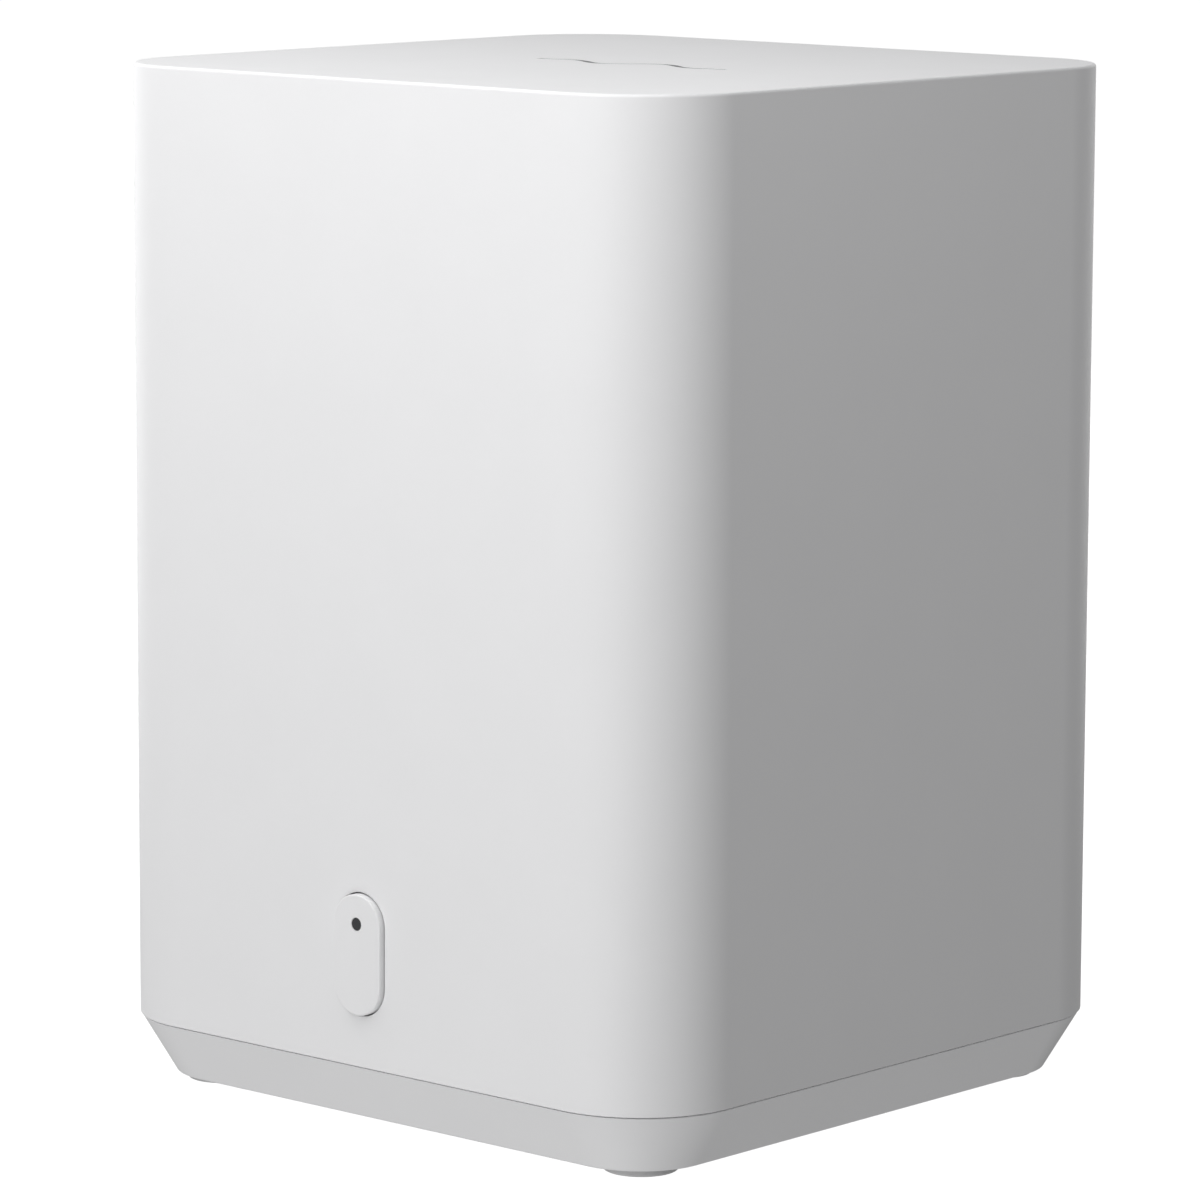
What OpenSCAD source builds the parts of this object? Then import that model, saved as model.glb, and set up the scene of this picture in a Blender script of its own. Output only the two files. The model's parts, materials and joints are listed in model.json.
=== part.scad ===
// Wireless router: a white, closed tower on a chamfered base, with a pill-shaped pairing button in front
// and the connectors behind. Millimetres, +Z up. The origin is on the table under the middle of the body,
// the button faces -Y and the connectors face +Y.

/* [Body] */
// Width of the housing
body_w = 110; // [106:0.5:116]
// Depth of the housing
body_d = 108; // [105:0.5:114]
// Height from the table to the top face
total_h = 151.3; // [150:0.5:175]
// Radius of the upright corners
corner_r = 16.3; // [15:0.1:17]
// Wall thickness of the housing
wall = 2.4; // [2.2:0.1:2.4]
// Rounding of the top edge
top_edge = 0.8; // [0.4:0.1:1.2]

/* [Base] */
// Height of the chamfered base, up to the parting line
base_h = 9; // [8.9:0.1:9.2]
// How far the base draws in towards the table
base_inset = 5.5; // [4.5:0.1:5.6]
// Shadow gap between the base and the housing
seam_gap = 0.25; // [0.1:0.05:0.4]
// How far the rubber feet stand below the base
foot_h = 1.2; // [0.8:0.1:1.3]
// Radius of a rubber foot
foot_r = 5.4; // [4.5:0.1:5.5]

/* [Pairing button] */
// Width of the button cap
button_w = 9.1; // [8.8:0.1:9.4]
// Height of the button cap
button_h = 17.6; // [17:0.1:18.4]
// Height of the button's middle above the table
button_z = 26.7; // [26.6:0.1:27.2]
// How far the cap stands proud of the housing
button_proud = 0.9; // [0.7:0.1:1.2]
// Clearance all round the cap
button_gap = 0.2; // [0.15:0.05:0.3]
// Height of the indicator window above the table
lens_z = 31.2; // [31:0.1:31.5]
// Radius of the indicator window
lens_r = 0.95; // [0.8:0.05:1.1]

/* [Connectors] */
// Number of network sockets
jack_count = 3; // [3:1:3]
// Distance between two network sockets
jack_pitch = 17.2; // [16.8:0.1:17.4]
// Radius of the power inlet's bore
inlet_r = 3.1; // [3:0.05:3.2]
// Radius of the power inlet's centre pin
inlet_pin_r = 1; // [0.95:0.05:1.25]

/* [Cooling] */
// Number of fins on the heat sink
fin_count = 11; // [5:2:11]
// Height of the fins above the heat sink's plate
fin_h = 34; // [10:1:36]
// Number of slots in each row of vents
vent_count = 13; // [5:2:13]

/* [Hidden] */
$fn = 64;
eps = 0.01;

// Heights
base_z0 = foot_h;
seam_z = base_z0 + base_h;
base_floor = 2;
base_wall = 2.6;
floor_z = base_z0 + base_floor;
roof = 2.6;
board_z0 = 16;
board_t = 1.6;
board_z = board_z0 + board_t;

// Walls
inner_w = body_w - 2 * wall;
inner_d = body_d - 2 * wall;
inner_r = corner_r - wall;
tongue_gap = 0.15;
tongue_t = 1.6;
tongue_top = seam_z + 3.8;
face_in = body_d / 2 - wall;

// Underside
foot_recess = 1;
foot_edge = 0.4;
label = [46, 28];
label_r = 1.8;
label_recess = 0.3;

// Corner screws, which run up through the base into the housing behind the rubber feet
corner_x = body_w / 2 - corner_r + 2.8;
corner_y = body_d / 2 - corner_r + 2.8;
boss_z = 13;
boss_r = 3.2;
head_seat_z = 8.2;
m3_r = 1.5;
m3_head_r = 2.7;
m25_r = 1.25;
m25_head_r = 2.2;
m2_r = 1;
m2_head_r = 1.8;
screw_fit = 0.05;

// Rear connectors, measured from behind, with x to the right
window_w = 75;
window_z0 = 15.6;
window_z1 = 37;
window_r = 3;
jack_w = 16;
jack_h = 13.5;
jack_d = 21;
jack_x0 = -27;
jack_face = body_d / 2 - 2.7;
socket_w = 11.9;
socket_z0 = 4.2;
socket_z1 = 11.1;
socket_d = 13;
jack_sheet = 0.3;
contact_pitch = 1.02;
contact_t = 0.4;

// Side view of a contact as [distance from the socket's face, height above the board]
contact_side = [[-2.4, 11], [-2.4, 10.7], [-10.5, 9.1], [-12.6, 9.1], [-12.6, 9.4], [-10.4, 9.4], [-3, 11]];

reset_x = 20;
reset_z = 22.4;
inlet_x = 29.5;
inlet_w = 9;
inlet_h = 11;
inlet_d = 14;
inlet_z = board_z + 6.4;
inlet_floor = jack_face - 10.5;
inlet_pin_end = jack_face - 1.4;
inlet_root_r = 1.4;
panel_t = 1.8;
panel_w = 80;
panel_y1 = face_in - 0.2;
panel_z0 = tongue_top + 0.2;
panel_z1 = 38.6;

// Main board
board_w = 75;
board_y0 = -46;
board_y1 = 47.5;
board_holes = [[-33.5, -40], [33.5, -40], [-33.5, 26], [33.5, 26]];
sink_holes = [[-30, -22], [30, -22], [-30, 22], [30, 22]];
sink_plate = [66, 52, 3];
can_h = 3;
pad_t = 1;
sink_z = board_z + can_h + pad_t;
processor_can = [36, 30];
processor_can_at = [-12, -2];
radio_can = [22, 30];
radio_can_at = [18.5, -2];

// Inner frame and aerials
frame_z0 = 44;
frame_z1 = 144;
frame_w = 100;
frame_d = 98;
frame_r = 11;
frame_t = 1.6;
frame_window_z = [56, 102];
frame_window_h = 34;
leg_x = 43;
leg_y = 14;
leg_foot_z = 10;
leg_plate = 2.5;
aerial = [16, 60, 1];
aerial_z = 80;
lead_r = 0.65;
socket_at = [[-34.5, 0], [34.5, 0], [22, -32], [-8, 28]];

// Pairing button, behind the front wall
flange_edge = 1.4;
flange_y0 = -face_in + 0.1;
flange_t = 1;
switch_z = 24;
switch_size = [6, 3.5, 6];
button_board_y = -44.1;
button_board_t = 1;
button_board = [22, 26];
button_board_z0 = 20.2;
board_screw_x = [-8, 8];
board_screw_z = 42;
board_boss_y = -38;
post_r = 1.5;
plunger_y0 = -48.9;

// Flat cable between the two boards, as [y, z] where it bends
cable_x = -9.5;
cable_w = 5;
cable_t = 0.2;
cable_bend = 1;
cable_bend_at = [-44.2, 19.8];
cable_end_y = -36;
cable_rise = 2.4;

// Mark on the roof
mark_length = 36.5;
mark_height = 5;
mark_waves = 2;
mark_line = 1.3;
mark_depth = 0.2;
mark_steps = 60;
mark_at = [4.8, -2];

// ---------- Shapes that repeat ----------

// A straight block w by d by h, centred in plan on the origin and standing on z = 0
module block(w, d, h) {
    translate([-w / 2, -d / 2, 0]) cube([w, d, h]);
}

// A block with round upright corners. Profile lists [inset, z] up its outer wall.
module profiled_block(w, d, r, profile) {
    low = profile[0][1];
    high = profile[len(profile) - 1][1];
    x_side = [for (p = profile) [w / 2 - p[0], p[1]]];
    y_side = [for (p = profile) [d / 2 - p[0], p[1]]];
    corner = [for (p = profile) [r - p[0], p[1]]];
    rotate([90, 0, 0]) translate([0, 0, -(d / 2 - r)])
        linear_extrude(height = d - 2 * r) polygon(mirrored(x_side));
    rotate([90, 0, 90]) translate([0, 0, -(w / 2 - r)])
        linear_extrude(height = w - 2 * r) polygon(mirrored(y_side));
    for (sx = [-1, 1], sy = [-1, 1])
        translate([sx * (w / 2 - r), sy * (d / 2 - r), 0])
            rotate_extrude() polygon(concat([[0, low]], corner, [[0, high]]));
}

// The right half of an outline, closed by its mirror image on the left
function mirrored(side) = concat(side, [for (i = [len(side) - 1:-1:0]) [-side[i][0], side[i][1]]]);

// A plain block with round upright corners, from z0 to z1
module rounded_block(w, d, r, z0, z1) {
    profiled_block(w, d, r, [[0, z0], [0, z1]]);
}

// Points of a quarter round of radius e that closes a wall at height z, as [inset, z]
function round_over(e, z, steps = 5) =
    [for (i = [0:steps]) let (a = 90 * i / steps) [e * (1 - cos(a)), z - e + e * sin(a)]];

// A flat-sided shape with round ends, w wide along x and h long along y, with the same profile all round
module profiled_pill(w, h, profile) {
    low = profile[0][1];
    high = profile[len(profile) - 1][1];
    half = [for (p = profile) [w / 2 - p[0], p[1]]];
    rotate([90, 0, 0]) translate([0, 0, -(h - w) / 2])
        linear_extrude(height = h - w) polygon(mirrored(half));
    for (s = [-1, 1])
        translate([0, s * (h - w) / 2, 0])
            rotate_extrude() polygon(concat([[0, low]], half, [[0, high]]));
}

// A plain pill from z0 to z1
module pill(w, h, z0, z1) {
    profiled_pill(w, h, [[0, z0], [0, z1]]);
}

// Work on the front face: x stays, y runs up from the table, z runs outwards from the housing's face
module on_front() {
    translate([0, -body_d / 2, 0]) rotate([90, 0, 0]) children();
}

// Work on the rear face, seen from behind: x to the right, y up from the table, z outwards
module on_rear() {
    translate([0, body_d / 2, 0]) rotate([90, 0, 180]) children();
}

// A bar from y0 to y1 along the global Y axis at (x, z)
module bar_y(x, z, r, y0, y1) {
    translate([x, y0, z]) rotate([-90, 0, 0]) cylinder(r = r, h = y1 - y0);
}

// A pan-head screw pointing down: its head stands on z = 0 and its shank reaches down by length
module screw(shank_r, head_r, length) {
    head_h = head_r * 0.66;
    slot = head_r * 0.3;
    difference() {
        cylinder(r = head_r, h = head_h);
        for (a = [0, 90])
            rotate([0, 0, a]) translate([-head_r * 0.6, -slot / 2, head_h * 0.45])
                cube([head_r * 1.2, slot, head_h]);
    }
    translate([0, 0, -length + shank_r]) cylinder(r = shank_r, h = length - shank_r);
    translate([0, 0, -length]) cylinder(r1 = shank_r * 0.45, r2 = shank_r, h = shank_r);
}

// Round posts, or round holes when taken away, from z0 to z1
module post(points, r, z0, z1) {
    at_each(points) translate([0, 0, z0]) cylinder(r = r, h = z1 - z0);
}

module at_each(points) {
    for (p = points) translate([p[0], p[1], 0]) children();
}

corners = [for (sx = [-1, 1], sy = [-1, 1]) [sx * corner_x, sy * corner_y]];
legs = [for (sx = [-1, 1], sy = [-1, 1]) [sx * leg_x, sy * leg_y]];
vent_x = [for (i = [0:vent_count - 1]) (i - (vent_count - 1) / 2) * 4.5];
function jack_x(n) = jack_x0 + (n - 1) * jack_pitch;

// ---------- Casing ----------

module housing() {
    color("white") {
        difference() {
            profiled_block(body_w, body_d, corner_r,
                concat([[0.2, seam_z], [0, seam_z + 0.2]], round_over(top_edge, total_h)));
            rounded_block(inner_w, inner_d, inner_r, seam_z - 1, total_h - roof);
            on_front() translate([0, button_z, 0])
                pill(button_w + 2 * button_gap, button_h + 2 * button_gap, -wall - 1, 1);
            on_rear() translate([0, (window_z0 + window_z1) / 2, 0])
                rounded_block(window_w, window_z1 - window_z0, window_r, -wall - 1, 1);
            on_rear() at_each([for (x = vent_x) [x, 60]]) pill(1.8, 28, -wall - 1, 1);
            translate([mark_at[0], mark_at[1], total_h - mark_depth])
                linear_extrude(height = 1) wave_outline();
        }
        housing_bosses();
    }
}

// Four screw bosses, each tied to its corner by a web
module housing_bosses() {
    difference() {
        for (sx = [-1, 1], sy = [-1, 1])
            translate([sx * corner_x, sy * corner_y, 0]) {
                translate([0, 0, boss_z]) cylinder(r = boss_r, h = 17);
                rotate([0, 0, atan2(sy, sx)]) translate([1, -0.8, tongue_top + 1]) cube([9.6, 1.6, 14]);
            }
        at_each(corners) translate([0, 0, boss_z - 1]) cylinder(r = m3_r + screw_fit, h = 14);
    }
}

// Outline of a smooth wave line with a constant width, closed round both sides
function wave_point(t) =
    [mark_length * (t - 0.5), mark_height / 2 * sin(360 * mark_waves * t) * sin(180 * t)];
function wave_normal(t) =
    let (a = wave_point(t - 0.002), b = wave_point(t + 0.002), d = b - a, n = norm(d)) [-d[1] / n, d[0] / n];
module wave_outline() {
    steps = [for (i = [0:mark_steps]) i / mark_steps];
    polygon(concat(
        [for (t = steps) wave_point(t) + wave_normal(t) * mark_line / 2],
        [for (t = steps) wave_point(1 - t) - wave_normal(1 - t) * mark_line / 2]));
}

module top_mark() {
    color("darkgray")
        translate([mark_at[0], mark_at[1], total_h - mark_depth])
            linear_extrude(height = mark_depth - 0.05) wave_outline();
}

module base() {
    slope = base_inset / base_h;
    color("whitesmoke")
        difference() {
            union() {
                base_tray(slope);
                base_tongue();
                post(corners, 4.6, base_z0 + eps, boss_z - 0.05);
                post(board_holes, 3, floor_z - eps, board_z0);
                post(legs, 3.4, floor_z - eps, leg_foot_z);
            }
            post(corners, foot_r + 0.2, 0, base_z0 + foot_recess);
            post(corners, m3_head_r + 0.3, 0, head_seat_z);
            post(corners, m3_r + 0.2, 0, boss_z + 1);
            post(board_holes, m25_r + screw_fit, floor_z + 4, board_z);
            post(legs, m3_r + screw_fit, floor_z + 0.6, board_z);
            for (y = [-26, 26], x = vent_x) translate([x, y, 0]) pill(2, 16, 0, floor_z + 1);
            rounded_block(label[0] + 0.4, label[1] + 0.4, label_r + 0.2, 0, base_z0 + label_recess);
        }
}

// The visible chamfered skirt with its floor
module base_tray(slope) {
    skirt_top = seam_z - seam_gap;
    difference() {
        profiled_block(body_w, body_d, corner_r,
            [[base_inset + 0.25, base_z0], [base_inset - 0.15, base_z0 + 0.25],
             [seam_gap * slope + 0.2, skirt_top - 0.1], [seam_gap * slope + 0.35, skirt_top]]);
        profiled_block(body_w, body_d, corner_r,
            [[base_inset - base_floor * slope + base_wall, floor_z], [base_wall, seam_z]]);
    }
}

// The upright rim that plugs into the housing
module base_tongue() {
    w = inner_w - 2 * tongue_gap;
    d = inner_d - 2 * tongue_gap;
    r = inner_r - tongue_gap;
    difference() {
        rounded_block(w, d, r, seam_z - 2, tongue_top);
        rounded_block(w - 2 * tongue_t, d - 2 * tongue_t, r - tongue_t, seam_z - 3, tongue_top + 1);
    }
}

module rubber_feet() {
    color("dimgray")
        at_each(corners) {
            cylinder(r1 = foot_r - foot_edge, r2 = foot_r, h = foot_edge);
            translate([0, 0, foot_edge]) cylinder(r = foot_r, h = foot_h + foot_recess - foot_edge);
        }
}

module rating_label() {
    color("silver")
        rounded_block(label[0], label[1], label_r, base_z0 + 0.1, base_z0 + label_recess);
}

module base_screws() {
    color("gray")
        at_each(corners) translate([0, 0, head_seat_z]) rotate([180, 0, 0]) screw(m3_r, m3_head_r, 15);
}

// ---------- Pairing button ----------

module button_cap() {
    color("white")
        difference() {
            union() {
                on_front() translate([0, button_z, 0])
                    profiled_pill(button_w, button_h,
                        concat([[0, -body_d / 2 - flange_y0 - flange_t]], round_over(0.25, button_proud, 4)));
                flange();
                bar_y(0, switch_z, post_r, flange_y0 + flange_t - eps, plunger_y0);
            }
            bar_y(0, lens_z, lens_r + 0.02, -body_d / 2 - button_proud - 1, flange_y0 + flange_t + 1);
            bar_y(0, lens_z, 1.62, -body_d / 2 + 0.2, flange_y0 + flange_t + 1);
        }
}

// The wider lip that keeps the cap behind the wall
module flange() {
    translate([0, flange_y0 + flange_t, button_z]) rotate([90, 0, 0])
        pill(button_w + 2 * flange_edge, button_h + 2 * flange_edge, 0, flange_t);
}

module button_lens() {
    color("black")
        bar_y(0, lens_z, lens_r, -body_d / 2 - button_proud + 0.05, -body_d / 2 + 0.2);
}

module button_light_guide() {
    color("lightcyan") bar_y(0, lens_z, 1.6, -body_d / 2 + 0.2, flange_y0 + flange_t + 1);
}

module button_switch_plunger() {
    color("black") bar_y(0, switch_z, 1.7, plunger_y0, button_board_y - switch_size[1] + 0.7);
}

// A shallow cup behind the wall that the cap's lip slides in
module button_retainer() {
    cup_y1 = flange_y0 + flange_t + 1.9;
    color("gainsboro")
        translate([0, cup_y1, button_z]) rotate([90, 0, 0])
            difference() {
                pill(button_w + 6.8, button_h + 6.8, 0, cup_y1 + face_in);
                pill(button_w + 2 * flange_edge + 0.6, button_h + 2 * flange_edge + 0.6, 1.2, 5);
                pill(5, 14, -1, 5);
            }
}

module button_switch() {
    y0 = button_board_y - switch_size[1];
    color("dimgray")
        difference() {
            translate([-switch_size[0] / 2, y0, switch_z - switch_size[2] / 2]) cube(switch_size);
            bar_y(0, switch_z, 1.78, y0 - 1, y0 + 1.6);
        }
}

module status_led() {
    color("lightyellow") translate([-1.5, button_board_y - 1.2, lens_z - 1.4]) cube([3, 1.2, 2.8]);
}

module button_board() {
    color("darkgreen")
        difference() {
            translate([-button_board[0] / 2, button_board_y, button_board_z0])
                cube([button_board[0], button_board_t, button_board[1]]);
            for (x = board_screw_x)
                bar_y(x, board_screw_z, m2_r + 0.1, button_board_y - 1, button_board_y + 2);
        }
}

module button_board_screws() {
    color("gray")
        for (x = board_screw_x)
            translate([x, button_board_y, board_screw_z]) rotate([90, 0, 0]) screw(m2_r, m2_head_r, 5);
}

// A flat flexible cable that leaves the main board forwards and turns up into the button board's connector
module button_cable() {
    color("ivory")
        translate([cable_x, 0, 0]) rotate([90, 0, 90]) linear_extrude(height = cable_w) {
            translate([cable_bend_at[0], cable_bend_at[1] - cable_bend - cable_t])
                square([cable_end_y - cable_bend_at[0], cable_t]);
            intersection() {
                translate(cable_bend_at) difference() {
                    circle(r = cable_bend + cable_t);
                    circle(r = cable_bend);
                }
                translate(cable_bend_at - [5, 5]) square([5 + eps, 5 + eps]);
            }
            translate([cable_bend_at[0] - cable_bend - cable_t, cable_bend_at[1]])
                square([cable_t, cable_rise]);
        }
}

// One connector on the main board and one on the front of the button board
module cable_connectors() {
    slot = 0.4;
    low_z = cable_bend_at[1] - cable_bend - cable_t;
    up_y = cable_bend_at[0] - cable_bend - cable_t;
    color("beige") {
        difference() {
            translate([cable_x - 1.5, -38, board_z]) cube([cable_w + 3, 3.5, 2]);
            translate([cable_x - 0.1, -39, low_z]) cube([cable_w + 0.2, cable_end_y + 39, slot]);
        }
        difference() {
            translate([cable_x - 1.5, button_board_y - 2, 21]) cube([cable_w + 3, 2, 3]);
            translate([cable_x - 0.1, up_y, 20])
                cube([cable_w + 0.2, slot, cable_bend_at[1] + cable_rise - 20]);
        }
    }
}

// ---------- Connectors ----------

module port_panel() {
    color("whitesmoke")
        difference() {
            on_rear() translate([0, (panel_z0 + panel_z1) / 2, panel_y1 - body_d / 2 - panel_t])
                rounded_block(panel_w, panel_z1 - panel_z0, 2, 0, panel_t);
            for (n = [1:jack_count]) panel_cut_out(jack_x(n), jack_w, jack_h);
            panel_cut_out(inlet_x, inlet_w, inlet_h);
            bar_y(-reset_x, reset_z, 0.9, panel_y1 - panel_t - 1, panel_y1 + 1);
        }
}

// Room for a connector w wide and h high that stands on the main board at x
module panel_cut_out(x, w, h) {
    gap = 0.1;
    on_rear() translate([x - w / 2 - gap, board_z - gap, -10]) cube([w + 2 * gap, h + 2 * gap, 12]);
}

// Work on network socket n: x and y from the foot of its front face, z outwards
module on_jack(n) {
    on_rear() translate([jack_x(n), board_z, jack_face - body_d / 2]) children();
}

// Stamped metal can over the top and sides of one network socket
module ethernet_shell(n) {
    t = jack_sheet;
    color("silver")
        on_jack(n) difference() {
            translate([-jack_w / 2, 0, -jack_d]) cube([jack_w, jack_h, jack_d]);
            translate([-jack_w / 2 + t, -1, -jack_d + t]) cube([jack_w - 2 * t, jack_h - t + 1, jack_d]);
        }
}

// Moulded insert with the stepped opening for the plug and its latch
module ethernet_insert(n) {
    w = jack_w - 2 * jack_sheet;
    d = jack_d - jack_sheet - 0.2;
    color("dimgray")
        on_jack(n) difference() {
            translate([-w / 2, 0, -0.2 - d]) cube([w, jack_h - jack_sheet, d]);
            socket_step(socket_w, socket_z0, socket_z1);
            socket_step(6.2, 2.6, socket_z0 + 1);
            socket_step(3.4, 1.3, socket_z0);
        }
}

// One step of the opening, w wide, from height z0 to z1 above the board
module socket_step(w, z0, z1) {
    translate([-w / 2, z0, -socket_d]) cube([w, z1 - z0, socket_d + 1]);
}

// Eight sprung contacts that hang from the roof of the opening
module ethernet_contacts(n) {
    color("gold")
        on_jack(n) for (i = [0:7])
            translate([(i - 3.5) * contact_pitch - contact_t / 2, 0, 0])
                rotate([0, -90, 0]) mirror([0, 0, 1])
                    linear_extrude(height = contact_t) polygon(contact_side);
}

module power_inlet() {
    color("black")
        difference() {
            on_rear() translate([inlet_x - inlet_w / 2, board_z, jack_face - body_d / 2 - inlet_d])
                cube([inlet_w, inlet_h, inlet_d]);
            bar_y(-inlet_x, inlet_z, inlet_r, inlet_floor, jack_face + 1);
            bar_y(-inlet_x, inlet_z, inlet_root_r, inlet_floor - 2, inlet_floor + 1);
        }
}

// The centre pin: a thicker root in the moulding, a plain shank and a tapered tip
module power_inlet_pin() {
    color("goldenrod") {
        bar_y(-inlet_x, inlet_z, inlet_root_r, inlet_floor - 2, inlet_floor);
        bar_y(-inlet_x, inlet_z, inlet_pin_r, inlet_floor, inlet_pin_end);
        translate([-inlet_x, inlet_pin_end, inlet_z]) rotate([-90, 0, 0])
            cylinder(r1 = inlet_pin_r, r2 = inlet_pin_r * 0.5, h = 0.5);
    }
}

// The sprung leaf that presses on the plug's barrel
module power_inlet_spring() {
    color("goldenrod")
        translate([-inlet_x - 0.6, jack_face - 8.5, inlet_z - inlet_r + 0.12]) cube([1.2, 6, 0.3]);
}

module reset_plunger() {
    color("black") bar_y(-reset_x, reset_z, 0.75, 46.4, 49.2);
}

module reset_switch() {
    color("dimgray")
        difference() {
            translate([-reset_x - 2.6, 43.4, board_z]) cube([5.2, 4, 7]);
            bar_y(-reset_x, reset_z, 0.83, 45.6, 48);
        }
}

// ---------- Electronics ----------

module main_board() {
    color("darkgreen")
        difference() {
            translate([-board_w / 2, board_y0, board_z0]) cube([board_w, board_y1 - board_y0, board_t]);
            at_each(board_holes) translate([0, 0, board_z0 - 1]) cylinder(r = m25_r + 0.1, h = 4);
        }
}

module board_screws() {
    color("gray") at_each(board_holes) translate([0, 0, board_z]) screw(m25_r, m25_head_r, 8);
}

module chip(at, size) {
    translate([at[0], at[1], board_z]) block(size[0], size[1], size[2]);
}

module processor() {
    color("black") chip([-16, -3], [14, 14, 1.4]);
}

module memory_chip() {
    color("black") chip([-1.5, -3], [9, 12, 1.1]);
}

module flash_chip() {
    color("black") chip([-26, -32], [8, 6, 1]);
}

module radio_chip(at) {
    color("black") chip(at, [9, 9, 0.9]);
}

module network_chip() {
    color("black") chip([12, 21], [10, 10, 0.9]);
}

// Folded tin cover, open towards the board
module shield(size, at) {
    t = 0.25;
    color("silver")
        translate([at[0], at[1], board_z])
            difference() {
                block(size[0], size[1], can_h);
                translate([0, 0, -1]) block(size[0] - 2 * t, size[1] - 2 * t, can_h + 1 - t);
                for (x = [-1, 1], y = [-1, 0, 1])
                    translate([x * size[0] * 0.42, y * size[1] * 0.34, can_h - 1]) cylinder(r = 0.7, h = 2);
            }
}

module processor_shield() {
    shield(processor_can, processor_can_at);
}

module radio_shield() {
    shield(radio_can, radio_can_at);
}

module power_coils() {
    color("dimgray")
        for (y = [27.5, 33]) translate([-18.7, y, board_z]) rounded_block(5, 5, 1.2, 0, 3);
}

module smoothing_capacitors() {
    color("darkslategray")
        for (x = [-32.6, -24.8]) translate([x, 32.6, board_z]) cylinder(r = 3.15, h = 8);
}

module thermal_pads() {
    color("lightsteelblue")
        for (p = [[processor_can_at, processor_can], [radio_can_at, radio_can]])
            translate([p[0][0], p[0][1], board_z + can_h]) block(p[1][0] * 0.7, p[1][1] * 0.8, pad_t);
}

module heat_sink() {
    pitch = 5;
    color("lightgray")
        translate([0, 0, sink_z])
            difference() {
                union() {
                    block(sink_plate[0], sink_plate[1], sink_plate[2]);
                    for (i = [0:fin_count - 1])
                        translate([(i - (fin_count - 1) / 2) * pitch, 0, sink_plate[2] - eps])
                            block(1.6, sink_plate[1], fin_h + eps);
                }
                at_each(sink_holes) translate([0, 0, -1]) cylinder(r = m25_r + 0.1, h = 6);
            }
}

module heat_sink_spacers() {
    color("goldenrod")
        at_each(sink_holes) translate([0, 0, board_z])
            difference() {
                cylinder(r = 2.4, h = can_h + pad_t);
                translate([0, 0, 0.4]) cylinder(r = m25_r + screw_fit, h = 6);
            }
}

module heat_sink_screws() {
    color("gray") at_each(sink_holes) translate([0, 0, sink_z + sink_plate[2]]) screw(m25_r, m25_head_r, 6.2);
}

// ---------- Inner frame and aerials ----------

module inner_frame() {
    color("lightgray")
        difference() {
            union() {
                frame_cage();
                at_each(legs) translate([0, 0, leg_foot_z]) cylinder(r = 3.6, h = leg_plate);
                for (sx = [-1, 1], sy = [-1, 1]) frame_leg(sx, sy);
                button_bracket();
            }
            at_each(legs) translate([0, 0, leg_foot_z - 1]) cylinder(r = m3_r + 0.15, h = 5);
            for (x = board_screw_x)
                bar_y(x, board_screw_z, m2_r + screw_fit, button_board_y, board_boss_y - 0.5);
        }
}

// A rounded square tube with a collar at its foot, a roof ring and tall windows on both sides of each aerial
module frame_cage() {
    difference() {
        frame_block(0, frame_z0, frame_z1);
        frame_block(frame_t, frame_z0 + 4, frame_z1 - 2);
        frame_block(4.5, frame_z0 - 1, frame_z0 + 5);
        rounded_block(frame_w - 40, frame_d - 40, 12, frame_z1 - 3, frame_z1 + 1);
        for (s = [-1, 1], z = frame_window_z) {
            translate([-frame_w, s * 23 - 12, z]) cube([2 * frame_w, 24, frame_window_h]);
            translate([s * 23 - 12, -frame_d, z]) cube([24, 2 * frame_d, frame_window_h]);
        }
    }
}

// The cage's outline drawn in by inset on all sides, from z0 to z1
module frame_block(inset, z0, z1) {
    rounded_block(frame_w - 2 * inset, frame_d - 2 * inset, frame_r - inset, z0, z1);
}

module frame_leg(sx, sy) {
    translate([sx * (leg_x + 4.7), sy * leg_y, leg_foot_z]) block(3.4, 8, frame_z0 - leg_foot_z + 1);
    translate([sx * (leg_x + 2.5), sy * leg_y, leg_foot_z]) block(5, 7.2, leg_plate);
}

// The plate behind the button board, hung from the cage's front collar
module button_bracket() {
    w = button_board[0];
    y0 = button_board_y + button_board_t;
    tie_z = button_board_z0 + button_board[1] + 0.2;
    translate([-w / 2, y0, button_board_z0]) cube([w, 2, tie_z + 2 - button_board_z0]);
    translate([-w / 2, -frame_d / 2 + 1, tie_z]) cube([w, y0 + 1 + frame_d / 2, 2]);
    for (x = board_screw_x) bar_y(x, board_screw_z, 2.2, y0, board_boss_y);
}

module frame_screws() {
    color("gray") at_each(legs) translate([0, 0, leg_foot_z + leg_plate]) screw(m3_r, m3_head_r, 8);
}

// One printed aerial, flat against the outside of the cage
module aerial_board() {
    color("darkgreen")
        translate([0, 0, aerial_z])
            difference() {
                block(aerial[0], aerial[2], aerial[1]);
                for (x = [-5.5, 5.5], z = [4, aerial[1] - 4])
                    translate([x, -2, z]) rotate([-90, 0, 0]) cylinder(r = 0.9, h = 4);
            }
}

module aerial_left() {
    translate([-frame_w / 2 - 0.6, 0, 0]) rotate([0, 0, 90]) aerial_board();
}

module aerial_right() {
    translate([frame_w / 2 + 0.6, 0, 0]) rotate([0, 0, 90]) aerial_board();
}

module aerial_front() {
    translate([0, -frame_d / 2 - 0.6, 0]) aerial_board();
}

module aerial_rear() {
    translate([0, frame_d / 2 + 0.6, 0]) aerial_board();
}

module aerial_sockets() {
    color("gold") at_each(socket_at) translate([0, 0, board_z]) cylinder(r = 1.3, h = 0.8);
}

module aerial_plugs() {
    color("goldenrod") at_each(socket_at) translate([0, 0, board_z + 0.8]) cylinder(r = 1.7, h = 1.2);
}

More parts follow.
